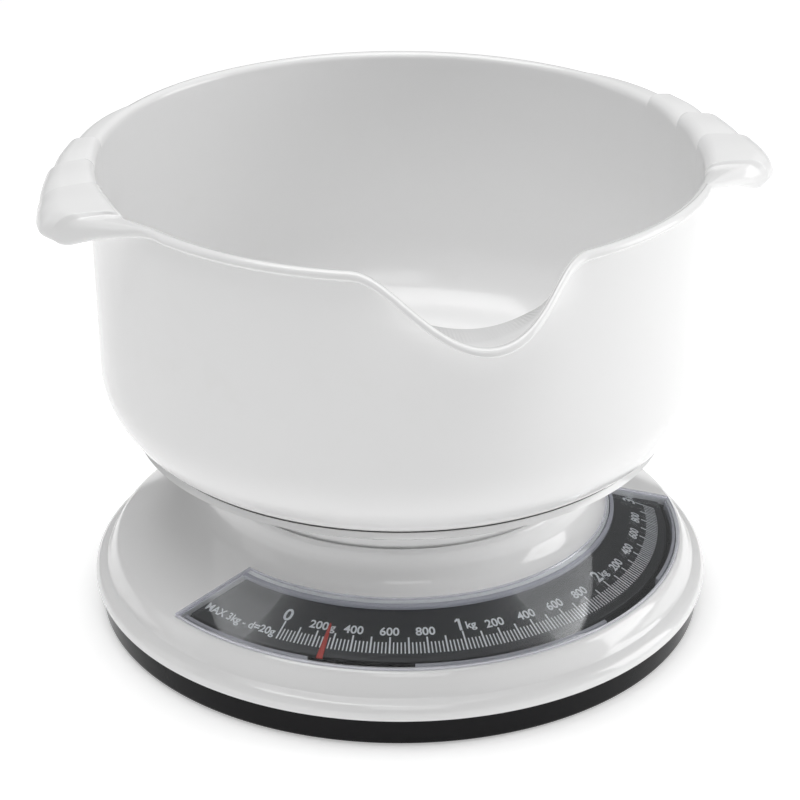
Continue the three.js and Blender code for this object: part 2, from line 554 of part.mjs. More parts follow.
function bellCrank() {
  const side = linkShape(CRANK_X, CRANK_Z, 3.6, DRIVE_X, CRANK_Z, 2.9);
  const down = linkShape(CRANK_X, CRANK_Z, 3.6, CRANK_X, CRANK_Z - CRANK_DOWN, 2.4);
  const sideHole = block([DRIVE_X - 2.9, CRANK_Y[0] - 1, CRANK_Z - 1.75],
    [DRIVE_X + 2.9, CRANK_Y[1] + 1, CRANK_Z + 1.75]);
  const tip = sheetXZ(linkShape(CRANK_X, CRANK_Z, 3.6, DRIVE_X - 4.6, CRANK_Z, 2.9),
    CRANK_Y[0], SHEET);
  const pinHole = rod([CRANK_X, CRANK_Y[0] - 1, CRANK_Z], [CRANK_X, CRANK_Y[1] + 1, CRANK_Z],
    PIN_R + HOLE_GAP);
  const pinZ = CRANK_Z - CRANK_DOWN;
  const pin = rod([CRANK_X, CRANK_Y[1] - 0.5, pinZ], [CRANK_X, -4.6, pinZ], 1.1, 12);
  const plate = join(sheetXZ(side, CRANK_Y[0], SHEET), sheetXZ(down, CRANK_Y[0], SHEET), tip, pin);
  return piece('bell_crank', cut(plate, sideHole, pinHole), steel);
}

const TOOTH_PITCH = FULL_TURN * PINION_RADIUS / PINION_TEETH;
const TOOTH_HEIGHT = { tip: 0.3, root: 0.6 };

function rack() {
  const left = -24;
  const right = CRANK_X + 3;
  const shape = new THREE.Shape();
  const rootY = -PINION_RADIUS - TOOTH_HEIGHT.root;
  const tipY = -PINION_RADIUS + TOOTH_HEIGHT.tip;
  shape.moveTo(left, -7.6);
  shape.lineTo(right, -7.6);
  shape.lineTo(right, rootY);
  const count = 10;
  for (let i = 3; i > 3 - count; i -= 1) {
    const middle = i * TOOTH_PITCH;
    shape.lineTo(middle + TOOTH_PITCH * 0.3, rootY);
    shape.lineTo(middle + TOOTH_PITCH * 0.12, tipY);
    shape.lineTo(middle - TOOTH_PITCH * 0.12, tipY);
    shape.lineTo(middle - TOOTH_PITCH * 0.3, rootY);
  }
  shape.lineTo(left, rootY);
  shape.closePath();
  const bar = sheetXY(shape, RACK_Z[0], RACK_Z[1] - RACK_Z[0]);
  const pinZ = CRANK_Z - CRANK_DOWN;
  const head = block([CRANK_X - 3, -7.6, pinZ - 5], [CRANK_X + 3, rootY, pinZ + 5]);
  const slot = block([CRANK_X - 1.45, -9, pinZ - 3.2], [CRANK_X + 1.45, rootY + 1, pinZ + 3.2]);
  return piece('rack', cut(join(bar, head), slot), brass);
}

// ---------------------------------------------------------------- pointer
const ARM_Z = [10, 11.2];

function pinion() {
  const points = [];
  for (let i = 0; i < PINION_TEETH; i += 1) {
    // A gap, not a tooth, faces the rack's middle tooth.
    const middle = -Math.PI / 2 + (i + 0.5) * FULL_TURN / PINION_TEETH;
    const root = PINION_RADIUS - TOOTH_HEIGHT.root;
    const tip = PINION_RADIUS + TOOTH_HEIGHT.tip;
    const step = FULL_TURN / PINION_TEETH;
    [[root, -0.3], [tip, -0.11], [tip, 0.11], [root, 0.3]].forEach(([radius, share]) => {
      const angle = middle + share * step;
      points.push([radius * Math.cos(angle), radius * Math.sin(angle)]);
    });
  }
  const gear = sheetXY(outline(points), RACK_Z[0] - 0.4, RACK_Z[1] - RACK_Z[0] + 0.8);
  return piece('pinion', cut(gear, rod([0, 0, 0], [0, 0, 50], 1 + HOLE_GAP, 12)), brass);
}

const spindle = () => piece('spindle',
  rod([0, 0, CHASSIS_TOP + 0.1], [0, 0, BRIDGE_TOP + 2.6], 1, 12), steel);

function pointerArm() {
  const middle = (RISER[0] + RISER[1]) / 2;
  const shape = outline([[-3.4, 14], [3.4, 14], [2.2, 0], [1.3, -middle], [-1.3, -middle], [-2.2, 0]]);
  const bar = sheetXY(shape, ARM_Z[0], ARM_Z[1] - ARM_Z[0]);
  const hub = rod([0, 0, ARM_Z[0]], [0, 0, ARM_Z[1] + 3], 3.6);
  const upright = block([-1.3, -RISER[1], ARM_Z[0]],
    [1.3, -RISER[0], coneZ(RISER[1], -1.25)]);
  const bore = rod([0, 0, 0], [0, 0, 30], 1 + HOLE_GAP, 12);
  const arm = cut(join(bar, hub, upright), bore).rotateZ(radians(POINTER_REST_DEG));
  return piece('pointer_arm', arm, steel);
}

function pointerNeedle() {
  const low = -0.95;
  const high = -0.5;
  const band = coneBand(NEEDLE_TIP, RISER[1], low, high);
  const wedge = sheetXY(outline([[-0.4, -NEEDLE_TIP + 1], [-1.1, -RISER[1] - 1],
    [1.1, -RISER[1] - 1], [0.4, -NEEDLE_TIP + 1]]), 0, COLLAR_TOP_Z);
  return piece('pointer_needle', overlap(band, wedge).rotateZ(radians(POINTER_REST_DEG)),
    pointerRed);
}

// ---------------------------------------------------------------- platform
const DISH_ANGLE = 31;             // how far the dish reaches up the bowl's corner, from its floor
const FLOOR_TOP = BOWL_SEAT_Z - TOUCH_GAP;
const CARRIER_TOP_Z = 52.5;
const CARRIER_SCREW_XY = [[-19, 12], [19, 12], [-19, 28], [19, 28]];

// Centre of the ellipse that rounds the bowl's bottom edge.
const bowlWall = (z) => BOWL_RADIUS + BOWL_TAPER * (z - BOWL_SEAT_Z - BOWL_HEIGHT / 2);
const CORNER_Z = BOWL_SEAT_Z + BOWL_CORNER * 1.04;
const CORNER_R = bowlWall(CORNER_Z) - BOWL_CORNER;

// Points along the rounded bottom edge, offset outwards by a distance.
function cornerPoints(offset, fromDeg, toDeg, steps) {
  const points = [];
  for (let i = 0; i <= steps; i += 1) {
    const angle = radians(fromDeg + (toDeg - fromDeg) * i / steps);
    points.push([CORNER_R + (BOWL_CORNER + offset) * Math.sin(angle),
      CORNER_Z - (CORNER_Z - BOWL_SEAT_Z + offset) * Math.cos(angle)]);
  }
  return points;
}

function platform() {
  const cup = cornerPoints(TOUCH_GAP, 0, DISH_ANGLE, 3);
  const skin = cornerPoints(TOUCH_GAP + WALL - 0.2, DISH_ANGLE + 3, 12, 3);
  const [cupRimR, cupRimZ] = cup[cup.length - 1];
  const stemTop = COLLAR_TOP_Z + DOWN_TRAVEL + 1.2;
  const under = FLOOR_TOP - WALL;
  const shell = turned([
    [0, FLOOR_TOP], ...cup, [cupRimR + 1.1, cupRimZ + 0.3],
    ...skin, [CORNER_R, under], [STEM_RADIUS + 6, under - 0.5], [STEM_RADIUS + 1.6, under - 2.4],
    [STEM_RADIUS, stemTop], [STEM_RADIUS, 36], [STEM_INNER, 36], [STEM_INNER, under], [0, under],
  ]);
  const bosses = CARRIER_SCREW_XY.map(([x, y]) =>
    rod([x, y, CARRIER_TOP_Z + SHEET + TOUCH_GAP], [x, y, under + 0.5], BOSS_R));
  const holes = CARRIER_SCREW_XY.map(([x, y]) =>
    rod([x, y, CARRIER_TOP_Z], [x, y, under - 0.2], SCREW_R + HOLE_GAP));
  return piece('platform', cut(join(shell, ...bosses), ...holes), whitePlastic);
}

function loadCarrier() {
  const top = outline([[-CHEEK_X[1], -6.2], [-4.5, -6.2], [-4.5, -7.6], [0.5, -7.6], [0.5, -6.2],
    [CHEEK_X[1], -6.2], [CHEEK_X[1], 1.5], [23, 8], [23, 33], [-23, 33], [-23, 8],
    [-CHEEK_X[1], 1.5]]);
  CARRIER_SCREW_XY.forEach(([x, y]) => roundHole(top, x, y, SCREW_R + HOLE_GAP));
  const plate = sheetXY(top, CARRIER_TOP_Z, SHEET);
  const cheeks = [-1, 1].map((side) => {
    const shape = outline([[CARRIER_Y - 2.2, CARRIER_TOP_Z + 0.5], [CARRIER_Y - 2.2, LOWER_Z - 3.4],
      [CARRIER_Y + 4, LOWER_Z - 3.4], [CARRIER_Y + 5.5, CARRIER_TOP_Z + 0.5]]);
    roundHole(shape, CARRIER_Y, LOWER_Z, PIN_R + HOLE_GAP);
    roundHole(shape, CARRIER_Y, UPPER_Z, PIN_R + HOLE_GAP);
    const x = side < 0 ? -CHEEK_X[1] : CHEEK_X[0];
    return sheetYZ(shape, x, CHEEK_X[1] - CHEEK_X[0]);
  });
  const lug = block([DRIVE_X - 2, -7.6, CRANK_Z - 1.8], [DRIVE_X + 2, -6.2, CARRIER_TOP_Z + 0.5]);
  const drivePin = rod([DRIVE_X, -11, CRANK_Z], [DRIVE_X, -6.6, CRANK_Z], 1.2, 12);
  const springPost = rod([0, SPRING_Y, 41], [0, SPRING_Y, CARRIER_TOP_Z + 0.5], 9);
  const springGuide = rod([0, SPRING_Y, 36.5], [0, SPRING_Y, 42], 4.6);
  return piece('load_carrier', join(plate, ...cheeks, lug, drivePin, springPost, springGuide), steel);
}

function carrierPins() {
  const places = [['lower', LOWER_Z], ['upper', UPPER_Z]];
  return [-1, 1].flatMap((side) => places.map(([level, z]) => {
    const sideName = side < 0 ? 'left' : 'right';
    const head = rod([side * (CHEEK_X[0] - 1.4), CARRIER_Y, z],
      [side * (CHEEK_X[0] - TOUCH_GAP), CARRIER_Y, z], 2.6);
    const shank = rod([side * (CHEEK_X[0] - 1), CARRIER_Y, z], [side * (FRAME_X[0] - 0.5),
      CARRIER_Y, z], PIN_R);
    return piece(`carrier_pin_${level}_${sideName}`, join(head, shank), steel);
  }));
}

function carrierScrews() {
  return CARRIER_SCREW_XY.map(([x, y], i) => {
    const screw = screwGeometry(7).translate(x, y, CARRIER_TOP_Z - 0.2);
    return piece(`carrier_screw_${i + 1}`, screw, steel);
  });
}

// ---------------------------------------------------------------- main spring
class Helix extends THREE.Curve {
  constructor(radius, turns, low, high) {
    super();
    Object.assign(this, { radius, turns, low, high });
  }

  getPoint(t, target = new THREE.Vector3()) {
    const angle = t * this.turns * FULL_TURN;
    return target.set(this.radius * Math.cos(angle), this.radius * Math.sin(angle),
      this.low + (this.high - this.low) * t);
  }
}

const SPRING = { radius: 7, wire: 0.8, turns: 6, low: 11.3, high: 39.8 };

function mainSpring() {
  const section = new THREE.Shape();
  section.absarc(0, 0, SPRING.wire, 0, FULL_TURN, false);
  const path = new Helix(SPRING.radius, SPRING.turns, SPRING.low, SPRING.high);
  const coil = new THREE.ExtrudeGeometry(section,
    { steps: SPRING.turns * 9, curveSegments: 3, extrudePath: path });
  return piece('main_spring', coil.translate(0, SPRING_Y, 0), springSteel);
}

// ---------------------------------------------------------------- bowl
const RIM_LIP = 2.6;               // how far the rim bead stands out of the wall

function bowlOutline() {
  const rimWall = bowlWall(RIM_Z);
  const inner = (z) => bowlWall(z) - WALL;
  const outerCorner = cornerPoints(0, 0, 90, 5);
  const innerCorner = cornerPoints(-WALL, 90, 0, 5);
  return [
    [0, BOWL_SEAT_Z], ...outerCorner,
    [bowlWall(RIM_Z - 44), RIM_Z - 44], [bowlWall(RIM_Z - 26), RIM_Z - 26],
    [bowlWall(RIM_Z - 14), RIM_Z - 14], [rimWall, RIM_Z - 5],
    [rimWall + RIM_LIP - 0.3, RIM_Z - 2.6], [rimWall + RIM_LIP, RIM_Z - 1.4],
    [rimWall + RIM_LIP - 0.8, RIM_Z - 0.4], [rimWall + 0.4, RIM_Z],
    [rimWall - WALL + 0.1, RIM_Z - 3], [inner(RIM_Z - 14), RIM_Z - 14],
    [inner(RIM_Z - 26), RIM_Z - 26], [inner(RIM_Z - 44), RIM_Z - 44],
    ...innerCorner, [0, BOWL_SEAT_Z + WALL],
  ];
}

// Draw the rim out and down into the pouring spout, which faces -Y here.
function drawSpout(geometry) {
  const position = geometry.attributes.position;
  const start = RIM_Z - 44;
  for (let i = 0; i < position.count; i += 1) {
    const [x, y, z] = [position.getX(i), position.getY(i), position.getZ(i)];
    const radius = Math.hypot(x, y);
    const angle = Math.abs(Math.atan2(x, -y));
    const limit = radians(SPOUT_HALF_ANGLE_DEG);
    const rise = Math.max(0, (z - start) / (RIM_Z - start));
    if (angle >= limit || rise === 0 || radius < BOWL_RADIUS / 2) continue;
    const bulge = Math.cos(angle / limit * Math.PI / 2) ** 2;
    const drawn = radius + SPOUT_REACH * bulge * rise ** 3;
    position.setXYZ(i, x * drawn / radius, y * drawn / radius,
      z - SPOUT_DROP * bulge * rise ** 1.5);
  }
  return geometry;
}

// Side outline of one finger panel: flat top, then curled down at its outer end.
function fingerShape(reach, drop) {
  const shape = new THREE.Shape();
  const tip = BOWL_RADIUS + reach;
  const top = RIM_Z + 1.7;
  const start = BOWL_RADIUS - 14;
  const sheet = WALL;
  shape.moveTo(start, top);
  shape.lineTo(tip - 9, top - 1);
  shape.bezierCurveTo(tip - 3, top - 2, tip - 0.6, top - 6, tip, top - drop);
  shape.lineTo(tip - sheet, top - drop);
  shape.bezierCurveTo(tip - sheet - 0.8, top - 7, tip - 5.4, top - sheet - 2.1,
    tip - 9.4, top - sheet - 1);
  shape.lineTo(start, top - sheet - 0.6);
  shape.closePath();
  return shape;
}

function handle(side) {
  const first = -1.5 * FINGER_WIDTH + 3.05;
  const panels = [0, 1, 2].map((i) => {
    const reach = HANDLE_REACH - (2 - i) * 3.8;
    const drop = 15 - (2 - i) * 2.6;
    const panel = extrude(fingerShape(reach, drop), FINGER_WIDTH + 0.5, 5).rotateX(Math.PI / 2);
    const lean = new THREE.Matrix4().makeShear(0, 0, 0, FINGER_STEP / FINGER_WIDTH, 0, 0);
    return panel.applyMatrix4(lean).translate(0, -first - i * FINGER_WIDTH + 0.25, 0);
  });
  const inside = rod([0, 0, RIM_Z - 40], [0, 0, RIM_Z + 20], BOWL_RADIUS - 1.2, CIRCLE);
  const flap = cut(join(...panels), inside);
  return side > 0 ? flap : flap.scale(-1, 1, 1);
}

function bowl() {
  const shell = drawSpout(turned(bowlOutline(), BOWL_CIRCLE));
  const solid = join(shell, handle(1), handle(-1)).rotateZ(radians(BOWL_TURN_DEG));
  return piece('bowl', solid, whitePlastic);
}

// ---------------------------------------------------------------- assembly
function group(name, ...pieces) {
  const result = new THREE.Group();
  result.name = name;
  result.add(...pieces.flat());
  return result;
}

// Drawn from the worktop up, then lowered so that the origin is the centre of the tray's underside.
const scale = new THREE.Group();
scale.position.z = -FOOT_DROP;
scale.add(
  group('base', baseTray(), topCover(), lens(), dialPlate(), rubberFeet(), coverScrews(),
    dialScrews(), chassisPlate(), chassisScrews(), sideFrames(), bridgePlate(), spindleBushes(),
    pivotShafts(), rackGuide(), mainSpring()),
  group('zero_setting', zeroWheel(), zeroLever()),
  group('levers', lever('lower_lever', LOWER_Z), lever('upper_lever', UPPER_Z)),
  group('drive', bellCrank(), rack()),
  group('pointer', spindle(), pinion(), pointerArm(), pointerNeedle()),
  group('load', platform(), loadCarrier(), carrierPins(), carrierScrews()),
  group('vessel', bowl()),
);

export default scale;
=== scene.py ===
"""Looks of a mechanical kitchen scale with a lift-off mixing bowl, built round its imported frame."""

from __future__ import annotations

import json
import logging
import math
from dataclasses import dataclass, field
from enum import Enum
from typing import Iterable, Sequence

import bmesh
import bpy
import numpy as np
from mathutils import Matrix, Vector


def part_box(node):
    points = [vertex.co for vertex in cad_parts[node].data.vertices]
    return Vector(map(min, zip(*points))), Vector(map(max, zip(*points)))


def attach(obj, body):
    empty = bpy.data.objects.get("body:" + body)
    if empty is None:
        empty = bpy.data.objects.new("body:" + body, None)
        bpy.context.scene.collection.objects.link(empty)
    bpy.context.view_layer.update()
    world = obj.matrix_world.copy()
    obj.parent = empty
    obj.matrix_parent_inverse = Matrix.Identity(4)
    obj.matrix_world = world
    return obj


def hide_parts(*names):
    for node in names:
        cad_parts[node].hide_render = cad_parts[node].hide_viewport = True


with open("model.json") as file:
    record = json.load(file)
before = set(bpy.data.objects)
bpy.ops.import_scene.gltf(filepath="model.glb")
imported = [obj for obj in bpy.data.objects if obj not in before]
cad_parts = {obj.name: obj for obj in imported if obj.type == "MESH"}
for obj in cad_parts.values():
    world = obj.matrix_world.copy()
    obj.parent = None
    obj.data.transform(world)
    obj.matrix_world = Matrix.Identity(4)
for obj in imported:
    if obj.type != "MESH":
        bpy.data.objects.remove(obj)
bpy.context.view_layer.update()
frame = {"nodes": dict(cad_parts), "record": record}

LOG = logging.getLogger("kitchen_scale")
MM = 0.001  # metres in a millimetre
WHITE = (0.87, 0.87, 0.87)
SOILED_WHITE = (0.83, 0.825, 0.81)
CLEAN_WHITE = (1, 1, 1, 1)
PRINCIPLED = "ShaderNodeBsdfPrincipled"
FINE_TURN = 256  # facets round a large turned piece
FINE_SHEET = 192  # steps along a large sheet
CORNERS = range(1, 5)  # numbers of the four cover screws and of the four feet
BOX_FACES = ((0, 2, 3, 1), (4, 5, 7, 6), (0, 1, 5, 4), (2, 6, 7, 3), (0, 4, 6, 2), (1, 3, 7, 5))
Point = tuple[float, float]
Point3 = tuple[float, float, float]
Section = tuple[float, float, float, float]
Colour = tuple[float, float, float]


class Body(Enum):
    """Bodies of the frame that the pieces ride on."""

    BASE = "base"
    PLATFORM = "platform"
    BOWL = "bowl"
    POINTER = "pointer"


class Slot(Enum):
    """Material slots of the record."""

    SHELL = "white_shell"
    TRAY = "black_base"
    DIAL = "dial_black"
    LENS = "clear_lens"
    NEEDLE = "pointer_red"
    FOOT = "foot_rubber"


# ---------------------------------------------------------------- shader graph
class Signal:
    """A socket that adds Math nodes when it is used in an expression."""

    def __init__(self, graph: Graph, socket: bpy.types.NodeSocket) -> None:
        """Wrap a socket.

        Args:
            graph: The graph that the socket belongs to.
            socket: The output socket to wrap.
        """
        self.graph = graph
        self.socket = socket

    def _math(self, operation: str, first: Signal | float, second: Signal | float) -> Signal:
        """Add a Math node and return its result.

        Args:
            operation: The node's operation.
            first: First operand.
            second: Second operand.

        Returns:
            The node's output.
        """
        return self.graph.node("ShaderNodeMath", {"operation": operation}, {0: first, 1: second})

    def __add__(self, other: Signal | float) -> Signal:
        """Sum with another signal or number."""
        return self._math("ADD", self, other)

    __radd__ = __add__

    def __sub__(self, other: Signal | float) -> Signal:
        """Difference from another signal or number."""
        return self._math("SUBTRACT", self, other)

    def __rsub__(self, other: float) -> Signal:
        """A number less this signal."""
        return self._math("SUBTRACT", other, self)

    def __mul__(self, other: Signal | float) -> Signal:
        """Product with another signal or number."""
        return self._math("MULTIPLY", self, other)

    __rmul__ = __mul__

    def above(self, edge: float, width: float) -> Signal:
        """Soft step from 0 to 1.

        Args:
            edge: Where the step starts.
            width: How wide the step is.

        Returns:
            The stepped signal.
        """
        settings = {"interpolation_type": "SMOOTHSTEP"}
        return self.graph.node("ShaderNodeMapRange", settings, {0: self, 1: edge, 2: edge + width})


class Graph:
    """Node tree of one material, with one method for every kind of node."""

    def __init__(self, name: str) -> None:
        """Start an empty material.

        Args:
            name: The material's name.
        """
        self.material = bpy.data.materials.new(name)
        self.material.use_nodes = True
        self.tree = self.material.node_tree
        self.tree.nodes.clear()

    def node(self, kind: str, settings: dict | None = None, sockets: dict | None = None,
             output: int | str | None = 0) -> Signal | None:
        """Add a node.

        Args:
            kind: The node's type.
            settings: Attributes that are set before the sockets.
            sockets: Values or signals of its inputs, by name or index.
            output: Which output to return, or None for a node that has none.

        Returns:
            The chosen output.
        """
        made = self.tree.nodes.new(kind)
        for key, value in (settings or {}).items():
            setattr(made, key, value)
        for key, value in (sockets or {}).items():
            if isinstance(value, Signal):
                self.tree.links.new(value.socket, made.inputs[key])
            else:
                made.inputs[key].default_value = value
        return None if output is None else Signal(self, made.outputs[output])

    def place(self) -> Signal:
        """Coordinates that stay with the object, in metres."""
        return self.node("ShaderNodeTexCoord", output="Object")

    def noise(self, scale: float, detail: float = 3, roughness: float = 0.5,
              stretch: Point3 = (1, 1, 1)) -> Signal:
        """Noise with a scale in cells per metre.

        Args:
            scale: Cells per metre.
            detail: Octaves.
            roughness: How much the finer octaves count.
            stretch: Scale along each axis.

        Returns:
            The noise value from 0 to 1.
        """
        where = self.node("ShaderNodeMapping", None, {"Vector": self.place(), "Scale": stretch})
        sockets = {"Vector": where, "Scale": scale, "Detail": detail, "Roughness": roughness}
        return self.node("ShaderNodeTexNoise", None, sockets)

    def blend(self, factor: Signal, first: Colour, second: Colour) -> Signal:
        """Mix two colours by a signal.

        Args:
            factor: 0 for the first colour, 1 for the second.
            first: First colour.
            second: Second colour.

        Returns:
            The mixed colour.
        """
        sockets = {0: factor, 6: (*first, 1), 7: (*second, 1)}
        return self.node("ShaderNodeMix", {"data_type": "RGBA"}, sockets, output=2)

    def bump(self, height: Signal, distance: float, strength: float) -> Signal:
        """Bump a normal by a height.

        Args:
            height: The height signal.
            distance: Height of one unit, in metres.
            strength: How strongly it shows.

        Returns:
            The bumped normal.
        """
        return self.node("ShaderNodeBump", None,
                         {"Height": height, "Distance": distance, "Strength": strength})

    def finish(self, shader: Signal) -> bpy.types.Material:
        """Plug a shader into the output and return the material."""
        self.node("ShaderNodeOutputMaterial", None, {"Surface": shader}, output=None)
        return self.material


@dataclass(frozen=True)
class MouldedPlastic:
    """Injection-moulded plastic: faint waviness, handling marks and a little soiling."""

    name: str
    colour: Colour
    soiled: Colour
    gloss: float = 0.12
    marks: float = 0.1
    wave: float = 0.25
    grain: float = 0.05
    shine: float = 0.5

    def material(self) -> bpy.types.Material:
        """Build the material."""
        g = Graph(self.name)
        soil = g.noise(22, 4, 0.6).above(0.5, 0.3) * g.noise(140, 3).above(0.4, 0.4)
        smudge = g.noise(60, 5, 0.65)
        scratch = g.noise(900, 2, 0.5, (1, 0.08, 1)).above(0.66, 0.05)
        rough = smudge * self.marks + scratch * 0.06 + (self.gloss - self.marks * 0.5)
        height = g.noise(95, 2) * self.wave + g.noise(2600, 2) * self.grain
        return g.finish(g.node(PRINCIPLED, None, {
            "Base Color": g.blend(soil * 0.5, self.colour, self.soiled), "Roughness": rough,
            "Specular IOR Level": self.shine, "Normal": g.bump(height, 0.0002, 0.35)}))


@dataclass(frozen=True)
class PrintedInk:
    """Screen-printed ink: slightly uneven cover on a satin ground."""

    name: str
    colour: Colour
    worn: Colour
    roughness: float = 0.42

    def material(self) -> bpy.types.Material:
        """Build the material."""
        g = Graph(self.name)
        thin = g.noise(1400, 3, 0.6).above(0.55, 0.25)
        rough = g.noise(240, 3) * 0.12 + (self.roughness - 0.06)
        return g.finish(g.node(PRINCIPLED, None, {
            "Base Color": g.blend(thin, self.colour, self.worn), "Roughness": rough,
            "Normal": g.bump(g.noise(3000, 2), 0.00005, 0.3)}))


@dataclass(frozen=True)
class ClearSheet:
    """Clear moulded polystyrene: see-through, with a mirror-like skin and fine marks, plus a share of
    pale colour that can be painted over it as a highlight.
    """

    name: str
    tint: Colour = (0.96, 0.97, 0.98)
    # Share of the pale colour painted over the sheet: a painted highlight that stands in for the
    # light caught in the lens's edges.
    painted_highlight_share: float = 0.0
    # Colour of the scratches, and of the painted highlight.
    scratch_and_painted_highlight_colour: Colour = (0.62, 0.63, 0.68)

    def material(self) -> bpy.types.Material:
        """Build the material."""
        g = Graph(self.name)
        skin = g.bump(g.noise(70, 2), 0.0002, 0.25)
        through = g.node("ShaderNodeBsdfTransparent", None, {"Color": (*self.tint, 1)})
        rough = g.noise(500, 3) * 0.05 + 0.015
        # Pale surface that shows in the scratches and as the painted highlight.
        shine = g.node(PRINCIPLED, None, {
            "Base Color": (*self.scratch_and_painted_highlight_colour, 1), "Metallic": 0.0, "Roughness": rough, "Normal": skin})
        mirror = g.node(PRINCIPLED, None, {
            "Base Color": CLEAN_WHITE, "Metallic": 1.0, "Roughness": rough, "Normal": skin})
        fresnel = g.node("ShaderNodeFresnel", None, {"IOR": 1.5, "Normal": skin})
        clear = g.node("ShaderNodeMixShader", None, {0: fresnel * 0.3, 1: through, 2: mirror})
        # Scratches, plus the painted highlight share laid over the whole sheet.
        marks = g.noise(1100, 2, 0.5, (1, 0.1, 1)).above(0.7, 0.05) * 0.05 + self.painted_highlight_share
        return g.finish(g.node("ShaderNodeMixShader", None, {0: marks, 1: clear, 2: shine}))


@dataclass(frozen=True)
class Metal:
    """Drawn or rolled metal with grain along one axis and light tarnish."""

    name: str
    colour: Colour
    tarnish: Colour
    roughness: float = 0.3
    grain: Point3 = (1, 0.05, 1)

    def material(self) -> bpy.types.Material:
        """Build the material."""
        g = Graph(self.name)
        lines = g.noise(1800, 3, 0.6, self.grain)
        stain = g.noise(130, 4, 0.6).above(0.45, 0.35)
        rough = lines * 0.18 + stain * 0.12 + (self.roughness - 0.1)
        return g.finish(g.node(PRINCIPLED, None, {
            "Base Color": g.blend(stain, self.colour, self.tarnish), "Metallic": 1.0,
            "Roughness": rough, "Normal": g.bump(lines, 0.0001, 0.3)}))


@dataclass(frozen=True)
class SoftRubber:
    """Matt rubber with a dusty bloom."""

    name: str
    colour: Colour
    bloom: Colour

    def material(self) -> bpy.types.Material:
        """Build the material."""
        g = Graph(self.name)
        dust = g.noise(420, 5, 0.7).above(0.45, 0.3)
        return g.finish(g.node(PRINCIPLED, None, {
            "Base Color": g.blend(dust, self.colour, self.bloom),
            "Roughness": g.noise(800, 3) * 0.2 + 0.65,
            "Normal": g.bump(g.noise(3500, 3), 0.0001, 0.5)}))


class Finishes:
    """All materials of the scale, each built once."""

    def __init__(self) -> None:
        """Build the materials."""
        self.bowl = MouldedPlastic("bowl_white", WHITE, SOILED_WHITE, gloss=0.17, marks=0.1,
                                   wave=0.2).material()
        self.shell = MouldedPlastic("cover_white", WHITE, SOILED_WHITE, gloss=0.09, marks=0.07,
                                    wave=0.3).material()
        self.black = MouldedPlastic("tray_black", (0.012, 0.012, 0.013), (0.03, 0.03, 0.028),
                                    gloss=0.16, marks=0.14, wave=0.3, grain=0.1,
                                    shine=0.1).material()
        self.dial = PrintedInk("dial_ground", (0.010, 0.010, 0.011),
                               (0.016, 0.016, 0.016)).material()
        self.ink = PrintedInk("dial_white_ink", (0.86, 0.87, 0.88), (0.72, 0.73, 0.74)).material()
        self.red = PrintedInk("needle_red", (0.50, 0.035, 0.02), (0.42, 0.03, 0.02),
                              roughness=0.35).material()
        self.clear = ClearSheet("lens_clear").material()
        # Edges and skirts of the lens: clear, with 40 % pale colour painted on as a highlight for the
        # light caught in the edges.
        self.lens_rim_with_painted_highlight = ClearSheet("lens_rim_clear_painted_highlight", (0.88, 0.88, 0.93), painted_highlight_share=0.4,
                                    scratch_and_painted_highlight_colour=(0.82, 0.82, 0.87)).material()
        self.rubber = SoftRubber("foot_rubber", (0.03, 0.03, 0.03), (0.075, 0.073, 0.07)).material()
        self.zinc = Metal("zinc_plate", (0.60, 0.60, 0.57), (0.48, 0.47, 0.42), 0.38).material()
        self.steel = Metal("bright_steel", (0.66, 0.66, 0.67), (0.54, 0.53, 0.52), 0.25).material()
        self.brass = Metal("turned_brass", (0.78, 0.57, 0.25), (0.58, 0.4, 0.17), 0.28).material()
        self.nylon = MouldedPlastic("nylon", (0.72, 0.70, 0.62), (0.66, 0.62, 0.52),
                                    gloss=0.4).material()

    def by_slot(self) -> dict[str, bpy.types.Material]:
        """Materials of the nodes that keep their shape, by the record's slot."""
        return {Slot.SHELL.value: self.shell, Slot.TRAY.value: self.black,
                Slot.DIAL.value: self.dial, Slot.LENS.value: self.clear,
                Slot.NEEDLE.value: self.red, Slot.FOOT.value: self.rubber,
                "brass": self.brass, "nylon": self.nylon, "plated_steel": self.zinc,
                "bright_steel": self.steel}


# ---------------------------------------------------------------- mesh tools
def shade(made: bpy.types.Object, smoothly: bool = True) -> None:
    """Shade every face of a piece smoothly, or every face flat."""
    for polygon in made.data.polygons:
        polygon.use_smooth = smoothly


def make_object(name: str, vertices: Sequence, faces: Sequence,
                materials: Sequence) -> bpy.types.Object:
    """Make a smooth-shaded mesh object from millimetre vertices.

    Args:
        name: The piece's name.
        vertices: Points in millimetres.
        faces: Vertex indices of each face.
        materials: Materials of its slots.

    Returns:
        The new object, linked to the scene.
    """
    mesh = bpy.data.meshes.new(name)
    mesh.from_pydata([tuple(float(c) * MM for c in v) for v in vertices], [], faces)
    work = bmesh.new()
    work.from_mesh(mesh)
    bmesh.ops.remove_doubles(work, verts=work.verts, dist=1e-7)
    bmesh.ops.dissolve_degenerate(work, edges=work.edges, dist=1e-7)
    bmesh.ops.recalc_face_normals(work, faces=work.faces)
    work.to_mesh(mesh)
    work.free()
    made = bpy.data.objects.new(name, mesh)
    bpy.context.scene.collection.objects.link(made)
    for material in materials:
        mesh.materials.append(material)
    shade(made)
    return made


def sharpen(made: bpy.types.Object, degrees: float = 32) -> bpy.types.Object:
    """Keep edges sharper than an angle crisp, and return the object."""
    made.data.set_sharp_from_angle(angle=math.radians(degrees))
    return made


def apply_modifiers(made: bpy.types.Object) -> bpy.types.Object:
    """Replace the object's mesh by its modified one, and return the object."""
    graph = bpy.context.evaluated_depsgraph_get()
    mesh = bpy.data.meshes.new_from_object(made.evaluated_get(graph))
    made.modifiers.clear()
    made.data = mesh
    return made


